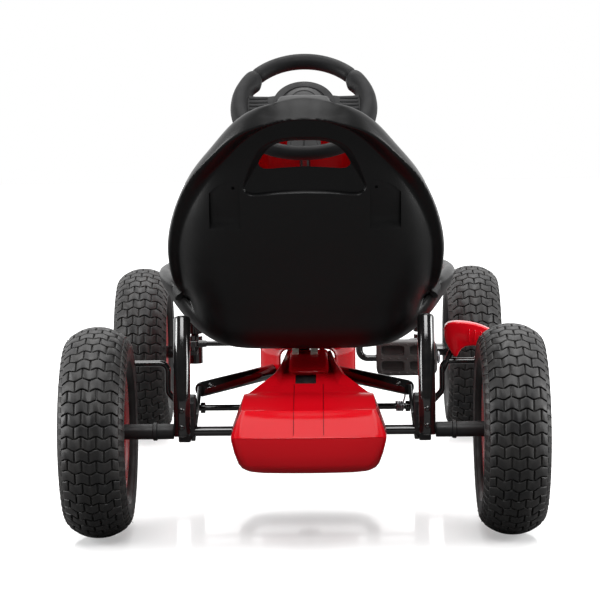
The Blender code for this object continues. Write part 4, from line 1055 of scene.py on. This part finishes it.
def front_shield():
    """Channel over the column: stations are distance up the column, half width and depth."""
    stations = ((0.045, 0.062, 0.046), (0.100, 0.0645, 0.049), (0.150, 0.066, 0.050),
                (0.225, 0.0685, 0.0515), (0.300, 0.070, 0.052), (0.360, 0.0690, 0.0515),
                (0.395, 0.066, 0.050), (0.408, 0.062, 0.048), (0.415, 0.056, 0.044))
    rings = []
    for along, half, depth in spline(stations, 4):
        half_ring = []
        for x, up in channel_half(half, -0.006, depth, 0.024):
            point = COLUMN_FOOT + COLUMN_DIRECTION * along + COLUMN_UP * up
            half_ring.append(point + Vector((x, 0, 0)))
        rings.append(mirrored(half_ring))
    builder = bmesh.new()
    skin(builder, rings, closed_ring=False)
    item = walled(builder, "visual_front_shield", 0.0025, even=True)
    mount(sharpened(item, 30.0), "frame", "red_plastic", "front_shield")


def nose():
    """Rounded front end: stations are Y, half width, top and corner radius."""
    stations = ((0.376, 0.0740, 0.2500, 0.016), (0.400, 0.0765, 0.2405, 0.016),
                (0.430, 0.0780, 0.2280, 0.015), (0.455, 0.0768, 0.2150, 0.012),
                (0.472, 0.0740, 0.2060, 0.009), (0.484, 0.0690, 0.1995, 0.006),
                (0.490, 0.0640, 0.1960, 0.004))
    rings = []
    for y, half, high, corner in spline(stations, 5):
        rings.append(mirrored([Vector((x, y, z)) for x, z in channel_half(half, 0.1900, high, corner)]))
    builder = bmesh.new()
    builder.faces.new(skin(builder, rings, closed_ring=False)[-1])
    mount(walled(builder, "visual_nose", 0.0020), "frame", "red_plastic", "nose")


rear_cover_lower()
rear_cover_upper()
neck_details()
body_cover()
front_shield()
nose()


# ---- frame -------------------------------------------------------------------------------------
def piece(builder, name, *replaced, body="frame", slot="black_paint"):
    """Finished piece in its slot's material, on the body of the CAD node that it replaces."""
    if replaced:
        body = BODY_OF[replaced[0]]
    mount(finish_mesh(builder, name, SLOT_FINISH[slot]), body, slot, *replaced)


def uprights():
    """Bent tubes that carry the seat, each with two small bolts at its foot."""
    for name, side in SIDES:
        x = side * (BLOCK_X + 0.002)
        path = ((x, back(0.010), 0.2720), (x, back(-0.006), 0.215), (x, back(-0.0175), 0.175),
                (x, back(-0.0175), 0.1265))
        builder = tube(bmesh.new(), rounded(path, 0.050), 0.0105, 28, 0.0045)
        piece(builder, f"visual_upright_{name}", f"seat_upright_{name}")
        bolts = bmesh.new()
        for z in (0.1390, 0.1600):
            turned(bolts, [(0.0, 0.0034), (0.0006, 0.0036), (0.0014, 0.0030), (0.0019, 0.0018),
                           (0.0021, 0.0003)], 20, (x, back(-0.0279), z), (0, -1, 0))
        piece(bolts, f"upright_bolts_{name}")


def cross_tubes():
    """Tubes from the backbone back and out to the side plates, each with a small bolt."""
    for name, side in SIDES:
        end = Vector((side * 0.1318, back(0.0480), 0.1745))
        start = Vector((side * 0.0275 - 0.006, back(0.170), 0.182))
        builder = tube(bmesh.new(), (start, end), 0.0095, 28, 0.0040)
        piece(builder, f"visual_cross_tube_{name}", f"cross_tube_{name}")
        bolt = bmesh.new()
        turned(bolt, [(-0.0010, 0.0030), (0.0006, 0.0030), (0.0014, 0.0024), (0.0018, 0.0012),
                      (0.0019, 0.0003)], 20, end + Vector((side * -0.0150, -0.0055, 0.0070)),
               Vector((0.0, -0.7, 0.7)))
        piece(bolt, f"cross_tube_bolt_{name}")


def side_plates():
    """Flat plates with the brake rod's hole, then leaned out below and toed out in front."""
    outline = ((0.010, 0.116), (0.010, 0.150), (0.040, 0.1795), (0.064, 0.1795), (0.138, 0.150),
               (0.138, 0.130), (0.112, 0.128), (0.060, 0.142), (0.030, 0.116))
    for name, side in SIDES:
        builder = slab(outline, *sorted((side * 0.1272, side * 0.1325)))
        item = finish_mesh(builder, f"visual_side_plate_{name}", PAINT)
        bored(item, 0.0047, 24, (0, BRAKE_Y, BRAKE_Z))
        softened(item, 0.0006, 2, 40.0)
        for vertex in item.data.vertices:
            forwards = vertex.co.y - back(0.010)
            vertex.co.x += side * (0.031 * forwards + 0.134 * (0.1795 - vertex.co.z))
        mount(item, "frame", "black_paint", f"side_plate_{name}")


def axle_blocks():
    """Plastic bearing blocks: a wide upper part, a narrow lower one and two raised bars behind."""
    wide = ((-0.0065, 0.124), (-0.0065, 0.166), (0.000, 0.172), (0.030, 0.172), (0.036, 0.160),
            (0.036, 0.124))
    narrow = ((-0.0062, 0.117), (-0.0062, 0.141), (0.020, 0.141), (0.020, 0.117))
    for name, side in SIDES:
        builder = bmesh.new()
        for outline, half in ((wide, 0.013), (narrow, 0.0075)):
            part = slab(outline, side * BLOCK_X - half, side * BLOCK_X + half)
            item = softened(finish_mesh(part, "part", BLACK_PLASTIC), 0.0018, 3)
            joined(builder, bored(item, AXLE_BORE, 24, (0, REAR_Y, AXLE_Z)))
        for z in (0.1475, 0.1560):
            box(builder, (side * BLOCK_X - 0.0110, back(-0.0074), z - 0.0006),
                (side * BLOCK_X + 0.0110, back(-0.0050), z + 0.0006))
        piece(builder, f"visual_axle_block_{name}", f"axle_block_{name}", slot="black_plastic")


def bumper():
    start = FRONT_Y + 0.0131
    half = ((0.100, start, BEAM_Z), (0.104, 0.455, 0.176), (0.085, 0.514, 0.170))
    path = [(-x, y, z) for x, y, z in half] + list(reversed(half))
    builder = tube(bmesh.new(), rounded(path, 0.030), 0.011, 24)
    piece(builder, "visual_front_bumper", "front_bumper")


def rear_axle():
    """Axle, and on each side a plastic collar between the block and the wheel."""
    end = HALF_TRACK + 0.031
    path = ((-end, REAR_Y, AXLE_Z), (end, REAR_Y, AXLE_Z))
    builder = tube(bmesh.new(), path, 0.006, 28, 0.0012)
    piece(builder, "visual_rear_axle", "rear_axle")
    for name, side in SIDES:
        collar = bmesh.new()
        start = side * (BLOCK_X + 0.0133)
        reach = HALF_TRACK - 0.022 - 0.0003 - (BLOCK_X + 0.0133)
        lathe(collar, [(0.0, AXLE_BORE), (0.0, 0.0088), (0.0008, 0.0095), (0.0200, 0.0095),
                       (0.0210, 0.0112), (0.0250, 0.0112), (0.0260, 0.0095),
                       (reach - 0.0008, 0.0095), (reach, 0.0088), (reach, AXLE_BORE)], 36,
              (start, REAR_Y, AXLE_Z), Vector((side, 0, 0)))
        piece(collar, f"visual_axle_collar_{name}", f"axle_collar_{name}", slot="black_plastic")


def wheel_nuts():
    """Washer and nut outside each wheel."""
    for end, y in (("axle", REAR_Y), ("wheel", FRONT_Y)):
        for name, side in SIDES:
            nut = bmesh.new()
            start = side * (HALF_TRACK + 0.0203)
            lathe(nut, [(0.0, AXLE_BORE), (0.0, 0.0104), (0.0004, 0.0108), (0.0013, 0.0108),
                        (0.0016, 0.0104), (0.0016, AXLE_BORE)], 32, (start, y, AXLE_Z),
                  Vector((side, 0, 0)))
            hexagon(nut, (start + side * 0.0016, y, AXLE_Z), (side, 0, 0), 0.0180, 0.0074)
            piece(nut, f"visual_{end}_nut_{name}", f"{end}_nut_{name}", slot="zinc_steel")


def front_parts():
    """Front beam with its kingpin sleeves, and the washer and nut on each kingpin."""
    builder = bmesh.new()
    end = KINGPIN_X - 0.009
    tube(builder, ((-end, FRONT_Y, BEAM_Z), (end, FRONT_Y, BEAM_Z)), 0.0125, 32)
    for _, side in SIDES:
        lathe(builder, ring_profile(0.0, 0.0495, 0.0067, 0.0120), 32,
              (side * KINGPIN_X, FRONT_Y, 0.1585), Z_AXIS)
    piece(builder, "visual_front_beam", "front_beam")
    for name, side in SIDES:
        nut = bmesh.new()
        lathe(nut, [(0.0, 0.0066), (0.0, 0.0108), (0.0014, 0.0108), (0.0014, 0.0066)], 32,
              (side * KINGPIN_X, FRONT_Y, 0.2083), Z_AXIS)
        hexagon(nut, (side * KINGPIN_X, FRONT_Y, 0.2097), (0, 0, 1), 0.0180, 0.0085)
        piece(nut, f"visual_kingpin_nut_{name}", f"kingpin_nut_{name}", slot="zinc_steel")


def tie_rod():
    """Two tubes with eyes at the kingpins' arms, and the middle plate for the drop arm's pin."""
    builder = bmesh.new()
    y, z = TIE_ROD_Y, TIE_ROD_Z
    end = KINGPIN_X - 0.005
    for side in (-1.0, 1.0):
        tube(builder, ((side * 0.0085, y, z), (side * end, y, z)), 0.004, 24)
        lathe(builder, ring_profile(-0.0045, 0.0045, 0.0037, 0.0086, 0.0007, 0.0006), 32,
              (side * KINGPIN_X, y, z), Z_AXIS)
        lathe(builder, [(0.0, 0.0038), (0.0, 0.0058), (0.0120, 0.0052), (0.0120, 0.0038)], 24,
              (side * (KINGPIN_X - 0.009), y, z), Vector((-side, 0, 0)))
    plate = bmesh.new()
    middle = Vector((0.0, y, z))
    corners = [(-0.016, -0.012), (0.016, -0.012), (0.016, 0.012), (-0.016, 0.012)]
    skin(plate, [[middle + Vector((a, 0, 0)) + COLUMN_UP * b + COLUMN_DIRECTION * c
                  for a, b in corners] for c in (-0.002, 0.002)])
    item = softened(finish_mesh(plate, "plate", PAINT), 0.0007, 2)
    joined(builder, bored(item, 0.0058, 28, middle, COLUMN_DIRECTION, 0.02))
    piece(builder, "visual_tie_rod", "tie_rod")


# ---- brake -------------------------------------------------------------------------------------
def brake():
    """Rod across the kart with its sleeves, fitting, handle and return spring."""
    y, riser_x, end_x = BRAKE_Y, 0.176, 0.284
    half = [(0.158, BRAKE_Z), (riser_x, 0.160), (riser_x, BRAKE_HIGH_Z)]
    path = [(-end_x, y, BRAKE_HIGH_Z)] + [(-x, y, z) for x, z in reversed(half)]
    path += [(x, y, z) for x, z in half] + [(end_x, y, BRAKE_HIGH_Z)]
    builder = bmesh.new()
    tube(builder, rounded(path, 0.010, 10), 0.004, 20, 0.0012)
    tube(builder, ((riser_x, y, 0.184), (0.1925, y, 0.2215)), 0.004, 20, 0.0008)
    for side in (-1.0, 1.0):
        lathe(builder, ring_profile(0.0, 0.0060, 0.0036, 0.0070, 0.0005, 0.0006), 28,
              (side * 0.1345, y, BRAKE_Z), Vector((-side, 0, 0)))
    piece(builder, "visual_brake_rod", "brake_rod")
    for name, side in SIDES:
        sleeve = lathe(bmesh.new(), ring_profile(0.0, 0.0450, 0.0036, 0.0050, 0.0010, 0.0006), 24,
                       (side * 0.2365, y + 0.0011, BRAKE_HIGH_Z), Vector((side, 0, 0)))
        piece(sleeve, f"brake_sleeve_{name}", body="brake", slot="tyre")
    fitting = bmesh.new()
    lathe(fitting, [(-0.0030, 0.0040), (-0.0030, 0.0058), (0.0030, 0.0058), (0.0030, 0.0040)],
          24, (0.2200, y, 0.1980), X_AXIS)
    tube(fitting, ((0.2200, y, 0.1930), (0.2205, y - 0.001, 0.1870)), 0.0024, 14, 0.0004)
    rings = []
    for step in range(24):
        angle = math.tau * step / 24
        reach = Vector((0, 0.0052 * math.sin(angle), 0.0052 * math.cos(angle)))
        middle = Vector((0.2207, y, 0.1822)) + reach
        out = reach.normalized()
        rings.append([middle + 0.0017 * around(out, X_AXIS, math.tau * k / 12)
                      for k in range(12)])
    skin(fitting, rings, closed_path=True)
    piece(fitting, "brake_fitting", body="brake", slot="zinc_steel")
    handle(y)
    spring = bmesh.new()
    turns, turn_steps, radius, wire = 4, 16, 0.0060, 0.0011
    coil = []
    for step in range(turns * turn_steps + 1):
        angle = math.tau * step / turn_steps
        coil.append(Vector((0.1165 + 0.0095 * step / (turns * turn_steps),
                            y + radius * math.sin(angle), BRAKE_Z + radius * math.cos(angle))))
    tube(spring, coil, wire, 8, 0.0003)
    tube(spring, (coil[-1], coil[-1] + Vector((0.0020, 0.0020, 0.0060)),
                  coil[-1] + Vector((0.0024, 0.0030, 0.0120))), wire, 8, 0.0003)
    piece(spring, "visual_return_spring", "return_spring", slot="zinc_steel")


def handle(y):
    """Red paddle grip: bright flat top, finger arch below and a boss round the lever."""
    grip = ((0.1785, 0.2405), (0.1800, 0.2445), (0.1835, 0.2475), (0.1890, 0.2490),
            (0.1960, 0.2494), (0.2040, 0.2490), (0.2120, 0.2478), (0.2200, 0.2460),
            (0.2280, 0.2432), (0.2350, 0.2400), (0.2420, 0.2365), (0.2460, 0.2335),
            (0.2462, 0.2290), (0.2445, 0.2245), (0.2410, 0.2195), (0.2370, 0.2160),
            (0.2320, 0.2152), (0.2270, 0.2163), (0.2200, 0.2178), (0.2120, 0.2180),
            (0.2060, 0.2174), (0.2015, 0.2150), (0.1978, 0.2110), (0.1958, 0.2070),
            (0.1935, 0.2042), (0.1903, 0.2048), (0.1870, 0.2100), (0.1830, 0.2170),
            (0.1800, 0.2235), (0.1785, 0.2320))
    rings = []
    for depth, shrink in ((-0.0120, 0.0030), (-0.0114, 0.0014), (-0.0098, 0.0003), (-0.0080, 0.0),
                          (0.0080, 0.0), (0.0098, 0.0003), (0.0114, 0.0014), (0.0120, 0.0030)):
        ring = []
        for index, (a, b) in enumerate(grip):
            before, after = grip[index - 1], grip[(index + 1) % len(grip)]
            tangent = Vector((after[0] - before[0], after[1] - before[1])).normalized()
            inward = Vector((tangent.y, -tangent.x))
            ring.append(Vector((a + inward.x * shrink, y + depth, b + inward.y * shrink)))
        rings.append(ring)
    builder = bmesh.new()
    skin(builder, rings)
    item = finish_mesh(builder, "visual_brake_handle", RED, 30.0)
    ridge = bmesh.new()
    for step in range(4):
        x = 0.2090 + 0.0075 * step
        tube(ridge, ((x, y - 0.0119, 0.2235), (x + 0.001, y - 0.0119, 0.2405 - 0.0015 * step)),
             0.0011, 10, 0.0006)
    mount(finish_mesh(ridge, "brake_handle_ribs", RED), "brake", "red_plastic")
    mount(item, "brake", "red_plastic", "brake_handle")


# ---- pedals, crank and chain -------------------------------------------------------------------
def pedals():
    """Pedals with four pockets in each face, small grip points and the crank's hole."""
    for name, side in SIDES:
        z = CRANK_Z - side * PEDAL_THROW
        low_x, high_x, pedal_half, corner_radius = 0.1005, 0.1885, 0.0250, 0.010
        middle_x = (low_x + high_x) / 2.0
        builder = bmesh.new()
        rings = []
        for depth, shrink in ((-0.0120, 0.0020), (-0.0112, 0.0006), (-0.0095, 0.0), (0.0095, 0.0),
                              (0.0112, 0.0006), (0.0120, 0.0020)):
            ring = []
            half_w, half_h = (high_x - low_x) / 2.0 - shrink, pedal_half - shrink
            for corner_x, corner_z, start in ((1, 1, 0.0), (-1, 1, 0.25), (-1, -1, 0.5),
                                              (1, -1, 0.75)):
                for step in range(7):
                    angle = math.tau * (start + 0.25 * step / 6.0)
                    ring.append(Vector((side * middle_x + corner_x * (half_w - corner_radius)
                                        + corner_radius * math.cos(angle),
                                        CRANK_Y + depth,
                                        z + corner_z * (half_h - corner_radius)
                                        + corner_radius * math.sin(angle))))
            rings.append(ring)
        skin(builder, rings)
        item = finish_mesh(builder, f"visual_pedal_{name}", PEDAL_PLASTIC)
        for face in (-1.0, 1.0):
            slots = bmesh.new()
            for across in (-1.0, 1.0):
                for up in (-1.0, 1.0):
                    rings = []
                    for depth, grow in ((0.0025, -0.0010), (0.0105, 0.0), (0.0116, 0.0006),
                                        (0.0150, 0.0020)):
                        ring = []
                        for turn in range(24):
                            angle = math.tau * turn / 24.0
                            sx = math.copysign(abs(math.cos(angle)) ** 0.35, math.cos(angle))
                            sz = math.copysign(abs(math.sin(angle)) ** 0.45, math.sin(angle))
                            ring.append(Vector((side * middle_x + across * 0.0205
                                                + (0.0165 + grow) * sx,
                                                CRANK_Y + face * depth,
                                                z + up * 0.0113 + (0.0072 + grow) * sz)))
                        rings.append(ring)
                    skin(slots, rings)
            boolean(item, finish_mesh(slots, "slots", PEDAL_PLASTIC))
        bored(item, 0.0056, 24, (0, CRANK_Y, z), reach=0.3)
        grips = bmesh.new()
        for face in (-1.0, 1.0):
            for count in range(7):
                x = side * middle_x - 0.036 + 0.012 * count
                for up in (-0.0225, 0.0, 0.0225):
                    turned(grips, [(-0.001, 0.0014), (0.0006, 0.0013), (0.0010, 0.0007)], 10,
                           (x, CRANK_Y + face * 0.0118, z + up * 0.93), (0, face, 0))
        mount(item, f"pedal_{name}", "black_plastic", f"pedal_{name}")
        mount(finish_mesh(grips, f"pedal_grips_{name}", PEDAL_PLASTIC), f"pedal_{name}",
              "black_plastic")


def crank():
    """Cranked rod through both pedals, with a cap at each end."""
    end = 0.1905
    path = [(end, -PEDAL_THROW), (0.076, -PEDAL_THROW), (0.076, 0.0), (-0.076, 0.0),
            (-0.076, PEDAL_THROW), (-end, PEDAL_THROW)]
    builder = bmesh.new()
    tube(builder, rounded([(x, CRANK_Y, CRANK_Z + z) for x, z in path], 0.012, 10), 0.005, 24)
    piece(builder, "visual_crank_rod", "crank_rod")
    for name, side in SIDES:
        cap = bmesh.new()
        z = CRANK_Z - side * PEDAL_THROW
        turned(cap, [(0.0, 0.0088), (0.0010, 0.0092), (0.0022, 0.0088), (0.0034, 0.0062),
                     (0.0040, 0.0010)], 28, (side * 0.1893, CRANK_Y, z), (side, 0, 0))
        piece(cap, f"crank_cap_{name}", body="crank", slot="zinc_steel")


def chain():
    """Links round the sprocket and the chainring, with their plates and rollers."""
    rear, front = Vector((REAR_Y, AXLE_Z)), Vector((CRANK_Y, CRANK_Z))
    span = front - rear
    slope = math.atan2(span.y, span.x)
    radii = [CHAIN_PITCH / (2.0 * math.sin(math.pi / teeth)) for teeth in (14, 21)]
    lean = math.asin((radii[1] - radii[0]) / span.length)
    line = []
    for centre, radius, start, sweep in (
            (rear, radii[0], math.pi / 2.0 + lean, math.pi - 2.0 * lean),
            (front, radii[1], -math.pi / 2.0 - lean, math.pi + 2.0 * lean)):
        for step in range(61):
            angle = slope + start + sweep * step / 60.0
            line.append(centre + radius * Vector((math.cos(angle), math.sin(angle))))
    line.append(line[0])
    lengths = [0.0]
    for a, b in zip(line, line[1:]):
        lengths.append(lengths[-1] + (b - a).length)
    count = 2 * round(lengths[-1] / CHAIN_PITCH / 2.0)
    pins = []
    for link in range(count):
        reach = lengths[-1] * link / count
        index = max(i for i, value in enumerate(lengths) if value <= reach)
        share = (reach - lengths[index]) / (lengths[index + 1] - lengths[index])
        pins.append(line[index].lerp(line[index + 1], share))
    builder = bmesh.new()
    for link in range(count):
        a, b = pins[link], pins[(link + 1) % count]
        along = (b - a).normalized()
        across = Vector((-along.y, along.x))
        outer = link % 2
        for side in (-1.0, 1.0):
            plate_faces = (0.0026, 0.0034) if outer else (0.0017, 0.0025)
            rings = []
            for x in plate_faces:
                ring = []
                for centre, turn in ((b, -1.0), (a, 1.0)):
                    for step in range(5):
                        angle = math.pi * step / 4.0 + (math.pi / 2.0) * turn
                        spot = centre + 0.0032 * around(along, across, angle)
                        ring.append(Vector((CHAIN_X + side * x, spot.x, spot.y)))
                rings.append(ring)
            skin(builder, rings)
        turned(builder, [(-0.0036, 0.0012), (0.0036, 0.0012)], 8, (CHAIN_X, a.x, a.y), X_AXIS)
        turned(builder, [(-0.0016, 0.0026), (0.0016, 0.0026)], 10, (CHAIN_X, a.x, a.y), X_AXIS)
    item = finish_mesh(builder, "visual_chain", CHAIN_STEEL)
    mount(item, BODY_OF["chain"], "zinc_steel", "chain")


uprights()
cross_tubes()
side_plates()
axle_blocks()
bumper()
rear_axle()
wheel_nuts()
front_parts()
tie_rod()
brake()
pedals()
crank()
chain()

# ---- the CAD pieces that keep their shape ------------------------------------------------------
for part in frame["record"]["subparts"]:
    mesh = NODES[part["node"]].data
    for index in range(len(mesh.materials)):
        mesh.materials[index] = SLOT_FINISH[part["material_slot"]]


# ---- floor, light and camera -------------------------------------------------------------------
def floor():
    """Bright floor that the camera sees as white, and that lights the kart only faintly."""
    builder = bmesh.new()
    half, steps = 7.0, 8
    places = [-half + 2 * half * step / steps for step in range(steps + 1)]
    skin(builder, [[(x, y, 0.0) for x in places] for y in places], closed_ring=False)
    material = bpy.data.materials.new("studio_floor")
    material.use_nodes = True
    nodes, links = material.node_tree.nodes, material.node_tree.links
    shader = nodes["Principled BSDF"]
    shader.inputs["Base Color"].default_value = (0.70, 0.70, 0.70, 1.0)
    shader.inputs["Roughness"].default_value = 0.06
    shader.inputs["Specular IOR Level"].default_value = 0.12
    shader.inputs["Emission Color"].default_value = (1.0, 1.0, 1.0, 1.0)
    shader.inputs["Emission Strength"].default_value = 0.38
    dark = added(nodes, "ShaderNodeBsdfDiffuse", Color=(0.14, 0.14, 0.14, 1.0))
    path, mix = nodes.new("ShaderNodeLightPath"), nodes.new("ShaderNodeMixShader")
    links.new(path.outputs["Is Camera Ray"], mix.inputs["Fac"])
    links.new(dark.outputs["BSDF"], mix.inputs[1])
    links.new(shader.outputs["BSDF"], mix.inputs[2])
    links.new(mix.outputs["Shader"], nodes["Material Output"].inputs["Surface"])
    finish_mesh(builder, "studio_floor", material)


def area_light(name, place, aim, size, power, size_y):
    data = bpy.data.lights.new(name, "AREA")
    data.shape = "RECTANGLE"
    data.size = size
    data.size_y = size_y
    data.energy = power
    light = bpy.data.objects.new(name, data)
    light.location = place
    light.rotation_euler = (Vector(aim) - Vector(place)).to_track_quat("-Z", "Y").to_euler()
    bpy.context.scene.collection.objects.link(light)


def studio():
    """White background, soft sky that is brighter ahead of the kart, a wide sun and three panels."""
    world = bpy.data.worlds.new("studio")
    bpy.context.scene.world = world
    world.use_nodes = True
    nodes, links = world.node_tree.nodes, world.node_tree.links
    nodes.clear()
    out = nodes.new("ShaderNodeOutputWorld")
    seen = added(nodes, "ShaderNodeBackground", Color=(1.0, 1.0, 1.0, 1.0), Strength=1.0)
    lit = added(nodes, "ShaderNodeBackground", Strength=1.4)
    place = nodes.new("ShaderNodeTexCoord")
    split = nodes.new("ShaderNodeSeparateXYZ")
    links.new(place.outputs["Generated"], split.inputs["Vector"])
    ramp = nodes.new("ShaderNodeValToRGB")
    ramp.color_ramp.elements[0].position = 0.35
    ramp.color_ramp.elements[0].color = (0.03, 0.03, 0.03, 1.0)
    ramp.color_ramp.elements[1].position = 0.70
    ramp.color_ramp.elements[1].color = (1.0, 1.0, 1.0, 1.0)
    shift = added(nodes, "ShaderNodeMapRange", From_Min=-1.0, From_Max=1.0)
    links.new(split.outputs["Y"], shift.inputs["Value"])
    links.new(shift.outputs["Result"], ramp.inputs["Fac"])
    links.new(ramp.outputs["Color"], lit.inputs["Color"])
    path = nodes.new("ShaderNodeLightPath")
    mix = nodes.new("ShaderNodeMixShader")
    links.new(path.outputs["Is Camera Ray"], mix.inputs["Fac"])
    links.new(lit.outputs["Background"], mix.inputs[1])
    links.new(seen.outputs["Background"], mix.inputs[2])
    links.new(mix.outputs["Shader"], out.inputs["Surface"])
    sun = bpy.data.lights.new("sky_panel", "SUN")
    sun.energy = 3.2
    sun.angle = 1.2
    lamp = bpy.data.objects.new("sky_panel", sun)
    lamp.rotation_euler = (math.radians(-6.0), 0.0, 0.0)
    bpy.context.scene.collection.objects.link(lamp)
    area_light("rear_high", (0.0, -2.6, 2.7), (0.0, -0.45, 0.30), 2.2, 75.0, 1.2)
    area_light("side_left", (-2.2, -0.5, 0.8), (0.0, 0.0, 0.25), 0.8, 42.0, 1.2)
    area_light("side_right", (2.2, -0.5, 0.8), (0.0, 0.0, 0.25), 0.8, 42.0, 1.2)
    view = bpy.context.scene.view_settings
    view.view_transform = "Standard"
    view.look = "None"
    view.exposure = 0.0
    view.gamma = 1.0


def camera():
    data = bpy.data.cameras.new("photo_camera")
    data.lens = 138.1
    data.sensor_width = 36.0
    data.clip_start = 0.05
    item = bpy.data.objects.new("photo_camera", data)
    turn = (Matrix.Rotation(0.01017, 4, "Z")
            @ Matrix.Rotation(math.radians(90.0 - 6.286), 4, "X")
            @ Matrix.Rotation(-0.01074, 4, "Z"))
    item.matrix_world = Matrix.Translation((0.0243, -3.198, 0.6005)) @ turn
    bpy.context.scene.collection.objects.link(item)
    bpy.context.scene.camera = item


floor()
studio()
camera()
